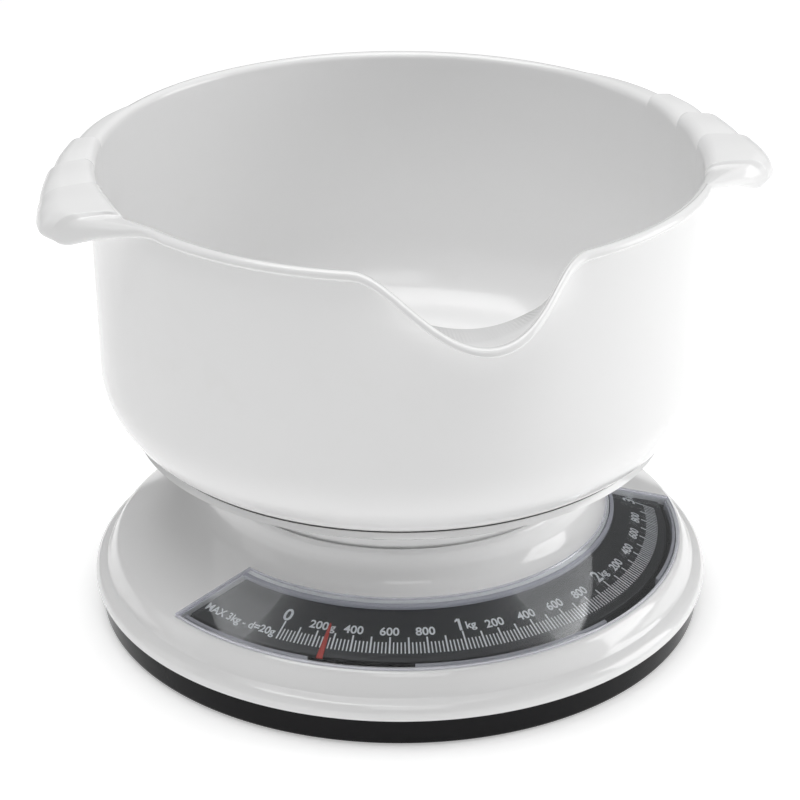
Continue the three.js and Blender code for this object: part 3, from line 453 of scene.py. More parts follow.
def cut_away(made: bpy.types.Object, cutters: Iterable[bpy.types.Object]) -> bpy.types.Object:
    """Subtract cutters, which are deleted.

    Args:
        made: The piece to cut.
        cutters: Closed cutting solids.

    Returns:
        The piece that was cut.
    """
    for cutter in cutters:
        step = made.modifiers.new("cut", "BOOLEAN")
        step.operation = "DIFFERENCE"
        step.solver = "EXACT"
        step.object = cutter
        apply_modifiers(made)
        bpy.data.objects.remove(cutter)
    shade(made)
    return made


def bevel(made: bpy.types.Object, width: float, segments: int = 3) -> bpy.types.Object:
    """Round every edge sharper than 30 degrees.

    Args:
        made: The piece.
        width: Bevel width in millimetres.
        segments: Steps of the rounding.

    Returns:
        The piece.
    """
    step = made.modifiers.new("edges", "BEVEL")
    step.width = width * MM
    step.segments = segments
    step.limit_method = "ANGLE"
    step.angle_limit = math.radians(30)
    return apply_modifiers(made)


def join_pieces(pieces: Sequence[bpy.types.Object]) -> bpy.types.Object:
    """Join meshes with the same material slots into the first one, and return it."""
    work = bmesh.new()
    for piece in pieces:
        work.from_mesh(piece.data)
    work.to_mesh(pieces[0].data)
    work.free()
    for piece in pieces[1:]:
        bpy.data.objects.remove(piece)
    return pieces[0]


def smooth(points: Sequence[Point], steps: int = 6) -> list[Point]:
    """Draw a Catmull-Rom curve through points.

    Args:
        points: Points of the curve.
        steps: Steps between two points.

    Returns:
        Points along the curve, both ends included.
    """
    known = np.array([points[0], *points, points[-1]], float)
    out = []
    for a, b, c, d in zip(known, known[1:], known[2:], known[3:]):
        for t in np.linspace(0, 1, steps, endpoint=False):
            out.append(0.5 * (2 * b + (c - a) * t + (2 * a - 5 * b + 4 * c - d) * t**2
                              + (3 * b - a - 3 * c + d) * t**3))
    return [tuple(p) for p in out] + [tuple(known[-1])]


def rounded(points: Sequence[Point3], steps: int = 5) -> list[Point]:
    """Round the corners of an open outline.

    Args:
        points: Corners as (radius, height, rounding).
        steps: Steps of each rounding.

    Returns:
        The rounded outline.
    """
    out: list[Point] = [points[0][:2]]
    for before, corner, after in zip(points, points[1:], points[2:]):
        here = np.array(corner[:2])
        arm_a, arm_b = np.array(before[:2]) - here, np.array(after[:2]) - here
        reach = min(corner[2], np.linalg.norm(arm_a) / 2, np.linalg.norm(arm_b) / 2)
        start = here + arm_a / np.linalg.norm(arm_a) * reach
        end = here + arm_b / np.linalg.norm(arm_b) * reach
        for t in np.linspace(0, 1, steps + 1):
            out.append(tuple((1 - t) ** 2 * start + 2 * t * (1 - t) * here + t**2 * end))
    out.append(points[-1][:2])
    return out


def turned(name: str, outline: Sequence[Point], materials: Sequence,
           segments: int = FINE_TURN) -> bpy.types.Object:
    """Turn an outline round the Z axis.

    Args:
        name: The piece's name.
        outline: Closed (radius, height) outline in millimetres, or one that ends on the axis.
        materials: Materials of its slots.
        segments: Facets round the axis.

    Returns:
        The piece.
    """
    rows = np.array(outline, float)
    angles = np.linspace(0, 2 * math.pi, segments, endpoint=False)
    vertices = [(r * math.sin(a), -r * math.cos(a), z) for a in angles for r, z in rows]
    count = len(rows)
    last = count if outline[0][0] > 1e-6 else count - 1
    faces = []
    for i in range(segments):
        here, after = i * count, (i + 1) % segments * count
        for j in range(last):
            up = (j + 1) % count
            faces.append((here + j, here + up, after + up, after + j))
    return make_object(name, vertices, faces, materials)


def stand_at(made: bpy.types.Object, middle: Vector) -> bpy.types.Object:
    """Move a piece from the Z axis to a middle in millimetres, and return it."""
    made.data.transform(Matrix.Translation((middle.x * MM, middle.y * MM, 0)))
    return made


def block(name: str, low: Vector, high: Vector) -> bpy.types.Object:
    """Box between two corners in millimetres, used as a cutter."""
    xs, ys, zs = zip(low, high)
    return make_object(name, [(x, y, z) for z in zs for y in ys for x in xs], BOX_FACES, [])


def sheet_faces(rows: int, columns: int) -> list[tuple[int, ...]]:
    """Faces of a closed sheet between two vertex grids, of which the lower one comes first.

    Args:
        rows: Steps across the sheet.
        columns: Steps along it.

    Returns:
        Vertex indices of each face.
    """
    width, layer = columns + 1, (rows + 1) * (columns + 1)
    faces: list[tuple[int, ...]] = []
    for i in range(rows):
        for j in range(columns):
            a = i * width + j
            faces.append((a, a + 1, a + width + 1, a + width))
            faces.append((layer + a, layer + a + width, layer + a + width + 1, layer + a + 1))
    edge = [*range(width), *(i * width + columns for i in range(1, rows + 1))]
    edge += [rows * width + j for j in range(columns - 1, -1, -1)]
    edge += [i * width for i in range(rows - 1, 0, -1)]
    faces += [(a, layer + a, layer + b, b) for a, b in zip(edge, edge[1:] + edge[:1])]
    return faces


def dress(made: bpy.types.Object, body: Body, slot: Slot, *nodes: str) -> bpy.types.Object:
    """Put a finished piece on its body in place of nodes.

    Args:
        made: The piece.
        body: The body it rides on.
        slot: The record's slot of its finish; not used.
        nodes: Nodes that it stands for.

    Returns:
        The piece.
    """
    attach(made, body.value)
    if nodes:
        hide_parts(*nodes)
    LOG.info("%s: %d faces on %s", made.name, len(made.data.polygons), body.value)
    return made


def low_high(node: str) -> tuple[Vector, Vector]:
    """Lowest and highest corner of a node, in millimetres."""
    low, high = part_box(node)
    return low / MM, high / MM


# ---------------------------------------------------------------- base
@dataclass
class Cone:
    """The sloping top of the cover, which the lens, the dial and the pointer follow."""

    outer: float = -low_high("dial_lens")[0].y
    width: float = 25.9
    slope: float = 0.4245
    edge_z: float = low_high("base_tray")[1].z + 11.3
    chord: float = -low_high("dial_lens")[1].y

    @property
    def inner(self) -> float:
        """Radius of the lens's inner edge."""
        return self.outer - self.width

    def z(self, radius: float, offset: float = 0.0) -> float:
        """Height of the cover at a radius, plus an offset."""
        return self.edge_z + (self.outer - radius) * self.slope + offset

    def point(self, radius: float, degrees: float, offset: float) -> Point3:
        """Point on the cone at a dial angle from the front towards +X."""
        a = math.radians(degrees)
        return radius * math.sin(a), -radius * math.cos(a), self.z(radius, offset)

    def sector(self, name: str, inner: float, outer: float, chord: float, low: float, high: float,
               materials: Sequence, span: tuple[float, float] | None = None, rows: int = 12,
               columns: int = 160) -> bpy.types.Object:
        """Solid sheet that follows the cone in front of a chord line.

        Args:
            name: The piece's name.
            inner: Inner radius.
            outer: Outer radius.
            chord: Distance of the chord line in front of the axis.
            low: Offset of the underside from the cone.
            high: Offset of the top from the cone.
            materials: Materials of its slots.
            span: Dial angles where it starts and ends, if not at the chord line.
            rows: Steps between the radii.
            columns: Steps round the axis.

        Returns:
            The piece.
        """
        vertices = []
        for offset in (low, high):
            for radius in np.linspace(inner, outer, rows + 1):
                end = math.degrees(math.acos(chord / radius))
                start, stop = span or (-end, end)
                for degrees in np.linspace(start, stop, columns + 1):
                    vertices.append(self.point(radius, degrees, offset))
        return make_object(name, vertices, sheet_faces(rows, columns), materials)


@dataclass
class Housing:
    """White cover, black tray and rubber feet."""

    finishes: Finishes
    cone: Cone
    edge: float = low_high("top_cover")[1].x - 0.35
    edge_z: float = low_high("base_tray")[1].z - 2.0
    collar_z: float = low_high("top_cover")[1].z
    wall: float = 2.4
    window_seat: float = 1.3
    recess_gap: float = 0.05
    recess_depth: float = 0.25
    skirt_drop: float = 0.7
    slot_half: float = 16.0

    def cover_outline(self) -> list[Point]:
        """Outline of the cover's section."""
        e, z0, c = self.edge, self.edge_z, self.cone
        bead = smooth([(e + 0.05, z0 + 0.3), (e + 0.32, z0 + 1.7), (e + 0.1, z0 + 3.2),
                       (e - 1.0, z0 + 4.7), (e - 2.6, z0 + 5.55), (e - 3.55, z0 + 5.95)], 7)
        shoulder = smooth([(e - 3.85, z0 + 6.2), (e - 4.5, z0 + 7.3), (e - 5.5, z0 + 9.5),
                           (e - 6.6, z0 + 11.6), (e - 7.5, z0 + 12.7), (c.outer, c.edge_z)], 7)
        n = c.inner
        fillet = smooth([(n, c.z(n)), (n - 2.6, c.z(n, 1.25)), (n - 4.6, c.z(n, 3.0)),
                         (n - 6.3, c.z(n, 5.6)), (n - 7.2, c.z(n, 8.6)),
                         (n - 7.5, self.collar_z - 2.4), (n - 7.9, self.collar_z - 0.9),
                         (n - 8.8, self.collar_z)], 7)
        bore = n - 9.6
        inside = rounded([(n - 8.8, self.collar_z, 0), (bore, self.collar_z, 0.7),
                          (bore, c.z(n, 0.8), 1.5), (n - 3.4, c.z(n, -1.4), 2),
                          (n, c.z(n, -self.wall), 2),
                          (c.outer - 0.8, c.z(c.outer - 0.8, -self.wall), 3),
                          (e - 6.2, z0 + 5, 3), (e - 3, z0 + 3.2, 1), (e - 2.3, z0, 0)], 4)
        lip = rounded([(e - 2.3, z0, 0), (e, z0, 0.4), (e + 0.05, z0 + 0.3, 0)], 3)
        return bead + shoulder + fillet + inside[1:-1] + lip[:-1]

    def window_cutters(self) -> list[bpy.types.Object]:
        """Solids that open the dial window and sink the shallow recess for the lens's flange."""
        c = self.cone
        return [c.sector("cutter", c.inner + inset, c.outer - inset, c.chord + inset, low, high, [],
                         columns=FINE_SHEET)
                for inset, low, high in ((self.window_seat, -12, 8),
                                         (-self.recess_gap, -self.recess_depth, 6))]

    def build(self) -> None:
        """Build and dress the cover, the tray and the feet."""
        cover = turned("top_cover_shell", self.cover_outline(), [self.finishes.shell])
        cut_away(cover, self.window_cutters())
        dress(sharpen(cover, 38), Body.BASE, Slot.SHELL, "top_cover")
        self.build_tray()
        self.build_feet()

    def build_tray(self) -> None:
        """Build the black tray with its wheel slot and screw pockets."""
        low, high = low_high("base_tray")
        e, floor, inside = high.x, low.z, low.z + 2
        top, skirt = self.edge_z - 0.3, low.z - self.skirt_drop
        outline = rounded([(0, floor, 0), (e - 30, floor, 0.5), (e - 29, floor + 0.5, 0.5),
                           (e - 27.5, floor + 0.5, 0.5), (e - 26.5, floor, 0.5),
                           (e - 7.5, floor, 0.5), (e - 6.5, skirt, 0.5), (e - 0.4, skirt, 1.9),
                           (e, top, 0.5), (e - 1.7, top + 0.05, 0.2), (e - 1.7, high.z, 0.3),
                           (e - 3.4, high.z, 0.4), (e - 3.8, inside, 1.2), (0, inside, 0)], 7)
        tray = turned("base_tray_shell", outline, [self.finishes.black])
        wheel_low, wheel_high = low_high("zero_wheel")
        slot = block("wheel_slot",
                     Vector((-self.slot_half, wheel_high.y - 12, wheel_low.z - 0.7)),
                     Vector((self.slot_half, wheel_high.y + 5, wheel_low.z + 4.2)))
        pockets = [self.screw_pocket(i) for i in CORNERS]
        cut_away(tray, [slot, *pockets])
        dress(sharpen(tray, 38), Body.BASE, Slot.TRAY, "base_tray")

    def screw_pocket(self, number: int) -> bpy.types.Object:
        """Cutter for the recess round one cover screw's head."""
        low, high = low_high(f"cover_screw_{number}")
        top = low.z + 1.2
        outline = rounded([(0, top, 0), (2.9, top, 0.2), (2.9, -0.4, 0.2), (3.3, -1, 0),
                           (0, -1, 0)], 3)
        return stand_at(turned(f"pocket_{number}", outline, [], 32), (low + high) / 2)

    def build_feet(self) -> None:
        """Build the four rubber feet."""
        for i in CORNERS:
            low, high = low_high(f"rubber_foot_{i}")
            radius = (high.x - low.x) / 2
            outline = rounded([(0, low.z + 0.25, 0), (radius - 3, low.z + 0.25, 0.3),
                               (radius - 2.4, low.z, 0.3), (radius - 0.3, low.z, 0.35),
                               (radius, low.z + 0.5, 0.3), (radius, high.z, 0.05),
                               (0, high.z, 0)], 4)
            foot = turned(f"foot_{i}", outline, [self.finishes.rubber], 64)
            stand_at(sharpen(foot), (low + high) / 2)
            dress(foot, Body.BASE, Slot.FOOT, f"rubber_foot_{i}")


# ---------------------------------------------------------------- dial
@dataclass
class Dial:
    """Dial plate with its printed scale, the clear lens over it and the needle."""

    finishes: Finishes
    cone: Cone
    zero: float = -52.3
    per_kg: float = 40.411
    capacity: int = 3
    tick_outer: float = 89.0
    tick_inner: dict[str, float] = field(default_factory=lambda: {
        "kilo": 82.3, "hundred": 83.2, "fine": 85.0})
    face: float = -1.4
    ink: float = 0.04
    grams: int = 20
    kilo_base: float = 81.9
    hundred_base: float = 82.5
    unit_size: float = 3.9
    number_shift: float = -0.3
    lens_gap: float = 0.15
    skirt_gap: float = 1.65
    notches: tuple[tuple[float, float], ...] = ((-44.0, -23.0), (19.0, 39.0))
    needle_lifts: tuple[float, float] = (-0.95, -0.5)
    needle_crown: float = 0.12
    print_faces: list = field(default_factory=list)
    print_vertices: list = field(default_factory=list)

    def build(self) -> None:
        """Build and dress the dial, the lens and the needle."""
        self.build_plate()
        self.build_scale()
        self.build_lens()
        self.build_needle()

    def build_plate(self) -> None:
        """Build the black plate that carries the scale."""
        c = self.cone
        plate = c.sector("dial_face", c.inner + 1.8, c.outer - 4.7, c.chord + 1.8,
                         self.face - 1.2, self.face, [self.finishes.dial], columns=FINE_SHEET)
        dress(sharpen(bevel(plate, 0.15, 2)), Body.BASE, Slot.DIAL, "dial_plate")

    def add_print(self, vertices: Sequence, faces: Sequence) -> None:
        """Collect printed shapes.

        Args:
            vertices: Points in millimetres.
            faces: Vertex indices within these points.
        """
        start = len(self.print_vertices)
        self.print_vertices.extend(vertices)
        self.print_faces.extend(tuple(start + i for i in f) for f in faces)

    def tick(self, kilograms: float, inner: float, width: float) -> None:
        """Print one tick.

        Args:
            kilograms: Weight that it marks.
            inner: Radius of its inner end.
            width: Its width in millimetres.
        """
        degrees = self.zero + self.per_kg * kilograms
        vertices = []
        for radius in (inner, self.tick_outer):
            half = math.degrees(width / 2 / radius)
            for side in (-half, half):
                for lift in (0.0, self.ink):
                    vertices.append(self.cone.point(radius, degrees + side, self.face + lift))
        self.add_print(vertices, BOX_FACES)

    def lettering(self, text: str, degrees: float, base: float, size: float, align: str = "CENTER",
                  shift: float = 0.0) -> None:
        """Print a word on the cone, its top towards the axis.

        Args:
            text: The word.
            degrees: Dial angle of its middle or start.
            base: Radius of its base line.
            size: Font size in millimetres.
            align: Which end of the word stands at the dial angle.
            shift: Distance along the base line, in millimetres.
        """
        curve = bpy.data.curves.new("word", "FONT")
        curve.body = text
        curve.align_x = align
        curve.size = size
        curve.offset = size * 0.022
        curve.extrude = self.ink / 2
        curve.resolution_u = 6
        word = bpy.data.objects.new("word", curve)
        bpy.context.scene.collection.objects.link(word)
        graph = bpy.context.evaluated_depsgraph_get()
        mesh = bpy.data.meshes.new_from_object(word.evaluated_get(graph))
        fall = math.cos(math.atan(self.cone.slope))
        vertices = []
        for v in mesh.vertices:
            radius = base - v.co.y * fall
            along = degrees + math.degrees((v.co.x + shift) / base)
            vertices.append(self.cone.point(radius, along, self.face + self.ink / 2 + v.co.z))
        self.add_print(vertices, [tuple(p.vertices) for p in mesh.polygons])
        bpy.data.objects.remove(word)
        bpy.data.curves.remove(curve)
        bpy.data.meshes.remove(mesh)

    def stroke(self, corners: Sequence[Point], degrees: float, base: float) -> None:
        """Print one straight-sided stroke.

        Args:
            corners: Corners along and above the base line, in millimetres.
            degrees: Dial angle that they are measured from.
            base: Radius of the base line.
        """
        vertices = []
        for lift in (0.0, self.ink):
            for x, y in corners:
                along = degrees + math.degrees(x / base)
                vertices.append(self.cone.point(base - y, along, self.face + lift))
        n = len(corners)
        sides = [(i, (i + 1) % n, n + (i + 1) % n, n + i) for i in range(n)]
        self.add_print(vertices, [tuple(range(n)), tuple(range(2 * n - 1, n - 1, -1)), *sides])

    def build_scale(self) -> None:
        """Print the ticks, the numbers and the capacity."""
        for mark in range(0, self.capacity * 1000 + self.grams, self.grams):
            kind = "kilo" if mark % 1000 == 0 else "hundred" if mark % 100 == 0 else "fine"
            self.tick(mark / 1000, self.tick_inner[kind], 0.42 if kind == "fine" else 0.56)
            if mark % 200:
                continue
            degrees = self.zero + self.per_kg * mark / 1000
            if mark % 1000 == 0:
                self.lettering(str(mark // 1000), degrees, self.kilo_base, 6.4,
                               shift=self.number_shift)
                if mark == 1000:
                    flag = [(-0.75, 4.4), (-0.75, 3.5), (-1.75, 2.9), (-1.75, 3.5)]
                    self.stroke(flag, degrees, self.kilo_base)
                if mark:
                    self.lettering("kg", degrees, self.kilo_base - 0.3, self.unit_size, "LEFT", 1.5)
            else:
                self.lettering(str(mark % 1000), degrees, self.hundred_base, 4.3,
                               shift=self.number_shift)
                if mark == 200:
                    self.lettering("g", degrees, self.hundred_base, self.unit_size, "LEFT", 3.6)
        self.lettering("MAX 3kg - d=20g", self.zero - 10.4, 88.2, 4.0)
        scale = make_object("dial_print", self.print_vertices, self.print_faces,
                            [self.finishes.ink])
        shade(scale, smoothly=False)
        dress(scale, Body.BASE, Slot.DIAL)

    def build_lens(self) -> None:
        """Build the clear lens: a flange on the cover, a plug in the window and two skirts."""
        c = self.cone
        # The second finish carries the painted highlight of the edges.
        looks = [self.finishes.clear, self.finishes.lens_rim_with_painted_highlight]
        gap = self.lens_gap
        sheet = c.sector("lens_sheet", c.inner + gap, c.outer - gap, c.chord + gap, 0.05, 1.0,
                         looks, rows=16, columns=220)
        bevel(sheet, 0.35, 4)
        end = math.degrees(math.acos(c.chord / c.outer)) - 2.2
        stops = [-end, *(a for notch in self.notches for a in notch), end]
        outer, inner = c.outer - self.skirt_gap, c.inner + self.skirt_gap
        runs = [(outer - 1.0, outer, -3.3, span, 60) for span in zip(stops[::2], stops[1::2])]
        runs.append((inner, inner + 1.3, -1.05, (3 - end, end - 3), 160))
        skirts = []
        for near, far, low, span, columns in runs:
            skirt = c.sector("lens_skirt", near, far, c.chord, low, 0.06, looks, span, 2, columns)
            skirts.append(bevel(skirt, 0.15, 2))
            # Skirts take the finish with the painted highlight.
            for polygon in skirt.data.polygons:
                polygon.material_index = 1
        # Edge faces, ends and the narrow bands along both radii take the finish with the painted
        # highlight.
        for polygon in sheet.data.polygons:
            radius = math.hypot(polygon.center.x, polygon.center.y) / MM
            upright = abs(polygon.normal.z) < 0.8
            ends_near = -polygon.center.y / MM < c.chord + 0.9
            if upright or ends_near or radius < c.inner + 0.6 or radius > c.outer - 0.6:
                polygon.material_index = 1
        lens = join_pieces([sheet, *skirts])
        lens.name = "lens"
        dress(sharpen(lens, 50), Body.BASE, Slot.LENS, "dial_lens")

    def build_needle(self) -> None:
        """Build the red needle, tapered and slightly crowned."""
        low, high = low_high("pointer_needle")
        middle = (low + high) / 2
        degrees = math.degrees(math.atan2(middle.x, -middle.y))
        c = self.cone
        tip, root = c.outer - 16.0, c.outer - 3.25
        rows, columns = 16, 6
        vertices = []
        for lift, crown in zip(self.needle_lifts, (0.0, self.needle_crown)):
            for t in np.linspace(0, 1, rows + 1):
                radius = tip + (root - tip) * t
                half = (0.75 + 1.35 * t if t > 0.04 else 0.45) / 2
                for side in np.linspace(-1, 1, columns + 1):
                    across = degrees + math.degrees(half * side / radius)
                    vertices.append(c.point(radius, across, lift - crown * side**2))
        needle = make_object("needle", vertices, sheet_faces(rows, columns), [self.finishes.red])
        dress(sharpen(needle), Body.POINTER, Slot.NEEDLE, "pointer_needle")


# ---------------------------------------------------------------- platform and bowl
@dataclass
class BowlForm:
    """Driving sizes of the bowl, shared with the dish that it stands in."""

    seat: float = low_high("bowl")[0].z
    height: float = 97.0
    radius: float = 100.3
    taper: float = 0.012
    corner: float = 26.5
    wall: float = 2.4
    turn: float = -13.4

    @property
    def rim(self) -> float:
        """Height of the rim's crest."""
        return self.seat + self.height

    def outside(self, z: float) -> float:
        """Outer radius of the wall at a height."""
        return self.radius + self.taper * (z - self.seat - self.height / 2)

    def corner_curve(self, offset: float, start: float, end: float, steps: int) -> list[Point]:
        """Points along the rounded bottom edge, offset outwards.

        Args:
            offset: Distance outwards, in millimetres.
            start: Start angle from straight down, in degrees.
            end: End angle.
            steps: Steps between them.

        Returns:
            Points of the curve.
        """
        middle_z = self.seat + self.corner * 1.04
        middle_r = self.outside(middle_z) - self.corner
        out = []
        for t in np.linspace(math.radians(start), math.radians(end), steps + 1):
            out.append((middle_r + (self.corner + offset) * math.sin(t),
                        middle_z - (middle_z - self.seat + offset) * math.cos(t)))
        return out


@dataclass
class PlatformDish:
    """Dish that the bowl stands in, on the stem that slides in the collar."""

    finishes: Finishes
    form: BowlForm
    bore: float = 61.1
    clearance: float = 0.5
    gap: float = 0.3
    wall: float = 2.4
    reach: float = 31.0

    def build(self) -> None:
        """Build and dress the platform."""
        foot = low_high("platform")[0].z
        f = self.form
        floor = f.seat - self.gap
        under = floor - self.wall
        stem = self.bore - self.clearance
        cup = f.corner_curve(self.gap, 0, self.reach, 14)
        skin = f.corner_curve(self.wall + 0.1, self.reach + 2, 10, 14)
        rim_r, rim_z = cup[-1]
        lip = rounded([(rim_r, rim_z, 0), (rim_r + 0.5, rim_z + 0.3, 0.4),
                       (rim_r + 1.3, rim_z - 0.5, 0.6), skin[0] + (0,)], 4)
        flare = rounded([skin[-1] + (0,), (stem + 10, under - 0.25, 5),
                         (stem + 1.2, under - 1.2, 5),
                         (stem, under - 8, 4), (stem, foot, 0.4), (stem - self.wall, foot, 0.4),
                         (stem - self.wall, under, 1.5), (0, under, 0)], 8)
        dish = turned("platform_dish", [(0, floor), *cup[:-1], *lip[:-1], *skin, *flare[1:]],
                      [self.finishes.shell])
        dress(sharpen(dish, 45), Body.PLATFORM, Slot.SHELL, "platform")


@dataclass
class Station:
    """One place round the grip: where the rim's outline is and how it is formed there."""

    angle: float
    x: float
    y: float
    top: float
    drop: float


@dataclass
class Bowl:
    """Mixing bowl with a pouring spout and two stepped finger grips, moulded in one."""

    finishes: Finishes
    form: BowlForm
    lip: float = 2.0
    lip_drop: float = 2.3
    spout_reach: float = 21.2
    spout_drop: float = 15.6
    spout_half: float = 21.0
    blend_height: float = 44.0
    rim_depth: float = 13.0
    straight: float = 32.0
    ring: float = 0.6
    datum: float = 153.9
    unit: float = 1.05
    step: float = 0.5
    closest: float = 0.04
    spout_crest: float = 2.5
    grip_from: float = 4.0
    grip_over: float = 14.0
    turn_from: float = 1.3
    turn_over: float = 3.0
    # What the plain rim has, and what a full grip adds to it.
    thinness: tuple[float, float] = (0.86, 0.14)
    crest: tuple[float, float] = (1.25, 1.5)
    curl: tuple[float, float] = (1.05, 6.2)
    sag: tuple[float, float] = (0.0, 0.5)

    def grip(self) -> list[list[Station]]:
        """Stations of one grip from the back to the spout side, one list for each finger panel."""
        plain = (self.form.outside(self.form.rim) + self.lip) / self.unit
        rim = self.datum

        def on_rim(angle: float) -> Point:
            """Outline point of the plain rim at an angle."""
            return plain * math.cos(math.radians(angle)), plain * math.sin(math.radians(angle))

        return [
            [Station(-38, *on_rim(-38), rim, 2.2), Station(-31, 86.6, -52.4, 153.8, 2.6),
             Station(-24, 94.0, -41.6, 153.6, 3.2), Station(-18.7, 98.4, -32.2, 153.2, 4.2)],
            [Station(-18.2, 99.8, -30.8, 154.9, 5.5), Station(-13, 104.5, -21.4, 154.2, 6.6),
             Station(-7.1, 107.2, -10.4, 152.4, 6.8)],
            [Station(-6.6, 109.0, -9.4, 154.9, 8.4), Station(-1, 111.4, 0.4, 154.2, 8.8),
             Station(5.0, 111.8, 9.8, 152.4, 8.4)],
            [Station(5.5, 113.2, 10.8, 154.9, 8.8), Station(12, 114.0, 19.6, 154.2, 8.8),
             Station(15.5, 113.2, 24.2, 153.6, 8.4), Station(17.9, 110.8, 27.2, 153.2, 7.6)],
            [Station(18.4, 108.8, 28.4, 152.2, 6.6), Station(19.6, 105.0, 30.4, 152.2, 5.3),
             Station(21.2, 100.8, 33.2, 152.5, 4.3), Station(23.5, 96.2, 37.2, 152.9, 3.5),
             Station(26.5, 91.2, 42.0, 153.4, 2.8), Station(30.0, 85.4, 47.4, 153.8, 2.4),
             Station(33.0, *on_rim(33), rim, 2.2)],
        ]

    def section_at(self, angle: float) -> Section:
        """Outline of the rim at an angle of the grip frame.

        Args:
            angle: Degrees from the grip's middle towards the spout.

        Returns:
            Outline x and y, top height and drop, in millimetres.
        """
        groups = self.grip()
        rows = [s for g in groups for s in g]
        if not rows[0].angle <= angle <= rows[-1].angle:
            reach = self.form.outside(self.form.rim) + self.lip
            a = math.radians(angle)
            return reach * math.cos(a), reach * math.sin(a), self.form.rim, self.lip_drop
        for group, following in zip(groups, groups[1:] + [None]):
            if angle <= group[-1].angle:
                return self.along(group, angle)
            if following and angle < following[0].angle:
                t = (angle - group[-1].angle) / (following[0].angle - group[-1].angle)
                t = t * t * (3 - 2 * t)
                a, b = self.along(group, group[-1].angle), self.along(following, following[0].angle)
                return tuple((1 - t) * p + t * q for p, q in zip(a, b))
        raise ValueError(f"no station at {angle}")

    def along(self, group: Sequence[Station], angle: float) -> Section:
        """Smooth interpolation within one panel.

        Args:
            group: Stations of the panel.
            angle: Degrees from the grip's middle.

        Returns:
            Outline x and y, top height and drop, in millimetres.
        """
        knots = np.array([s.angle for s in group])
        values = np.array([(s.x, s.y, s.top, s.drop) for s in group]) * self.unit
        values[:, 2] -= self.unit * self.datum - self.form.rim
        slopes = np.gradient(values, knots, axis=0)
        i = int(np.clip(np.searchsorted(knots, angle) - 1, 0, len(knots) - 2))
        h = knots[i + 1] - knots[i]
        t = (angle - knots[i]) / h
        out = ((1 + 2 * t) * (1 - t) ** 2 * values[i] + t * (1 - t) ** 2 * h * slopes[i]
               + t * t * (3 - 2 * t) * values[i + 1] + t * t * (t - 1) * h * slopes[i + 1])
        return tuple(out)

    def rim_curve(self, reach: float, top: float, drop: float) -> list[Point]:
        """Skin of the rim in the plane across it, from the outside of the wall to the inside.

        Args:
            reach: From the wall's middle to the outer skin.
            top: Height of the top.
            drop: Depth of the turned-down edge.

        Returns:
            Points (outward distance from the wall's middle, height).
        """
        wide = min(1.0, max(0.0, (reach - self.grip_from) / self.grip_over))
        thin, crest, curl, sag = (plain + extra * wide for plain, extra in
                                  (self.thinness, self.crest, self.curl, self.sag))
        half = self.form.wall / 2 * thin
        centre_end = reach - half
        flat = max(0.0, centre_end - crest - curl)
        curl = min(curl, centre_end - crest)
        high = top - half
        path = [(0.0, high - crest - 0.5)]
        for t in np.linspace(math.pi, math.pi / 2, 7):
            path.append((crest + crest * math.cos(t), high - crest + crest * math.sin(t)))
        for t in np.linspace(0, 1, 6)[1:]:
            path.append((crest + flat * t, high - sag * t * t))
        low = high - sag
        for t in np.linspace(math.pi / 2, math.radians(8), 12)[1:]:
            path.append((crest + flat + curl * math.cos(t), low - curl + curl * math.sin(t)))
        end_r, end_z = path[-1]
        fall = min(top - drop + half, end_z) - end_z
        for t in np.linspace(0, 1, 6)[1:]:
            path.append((end_r + (centre_end - end_r) * t, end_z + fall * t))
        line = np.array(path)
        tangent = np.gradient(line, axis=0)
        length = np.maximum(np.linalg.norm(tangent, axis=1, keepdims=True), 1e-6)
        normal = np.column_stack([-tangent[:, 1], tangent[:, 0]]) / length
        upper, under = line + normal * half, line - normal * half
        centre, direction = line[-1], tangent[-1] / length[-1]
        cap = []
        for t in np.linspace(-math.pi / 2, math.pi / 2, 9)[1:-1]:
            cap.append(centre + half * (math.cos(t) * direction + math.sin(t) * normal[-1]))
        return [tuple(p) for p in [*under, *cap, *upper[::-1]]]

    def column(self, degrees: float) -> list[Point3]:
        """One section of the bowl from the underside's centre round the rim to the inside's centre.

        Args:
            degrees: Angle from the spout towards the grip at +X.

        Returns:
            Points in the bowl's own frame, with the spout at -Y.
        """
        f = self.form
        side = 1.0 if degrees >= 0 else -1.0
        grip_angle = 90.0 - abs(degrees)
        x, y, top, drop = self.section_at(grip_angle)
        middle = f.outside(f.rim) - f.wall / 2
        a = math.radians(grip_angle)
        base = np.array([math.cos(a), math.sin(a)])
        across = np.array([x, y]) - middle * base
        reach = float(np.linalg.norm(across))
        direction = across / reach
        join, wall_start = f.rim - self.rim_depth, f.seat + self.straight
        outer = f.corner_curve(0, 0, 90, 16)
        outer = [(0.0, f.seat), (outer[0][0] * self.ring, f.seat), *outer]
        outer += [(f.outside(z), z) for z in np.linspace(wall_start, join, 12)]
        points = [(*(radius * base), z) for radius, z in outer]
        for out, z in self.rim_curve(reach, top, drop):
            turn = min(1.0, max(0.0, (abs(out) - self.turn_from) / self.turn_over))
            heading = base * (1 - turn) + direction * turn
            points.append((*(middle * base + out * heading), z))
        inner = [(f.outside(z) - f.wall, z) for z in np.linspace(join, wall_start, 12)]
        inner += f.corner_curve(-f.wall, 90, 0, 16)
        inner += [(inner[-1][0] * self.ring, f.seat + f.wall), (0.0, f.seat + f.wall)]
        points += [(*(radius * base), z) for radius, z in inner]
        return [(side * p[0], -p[1], p[2]) for p in map(self.draw_spout, points)]

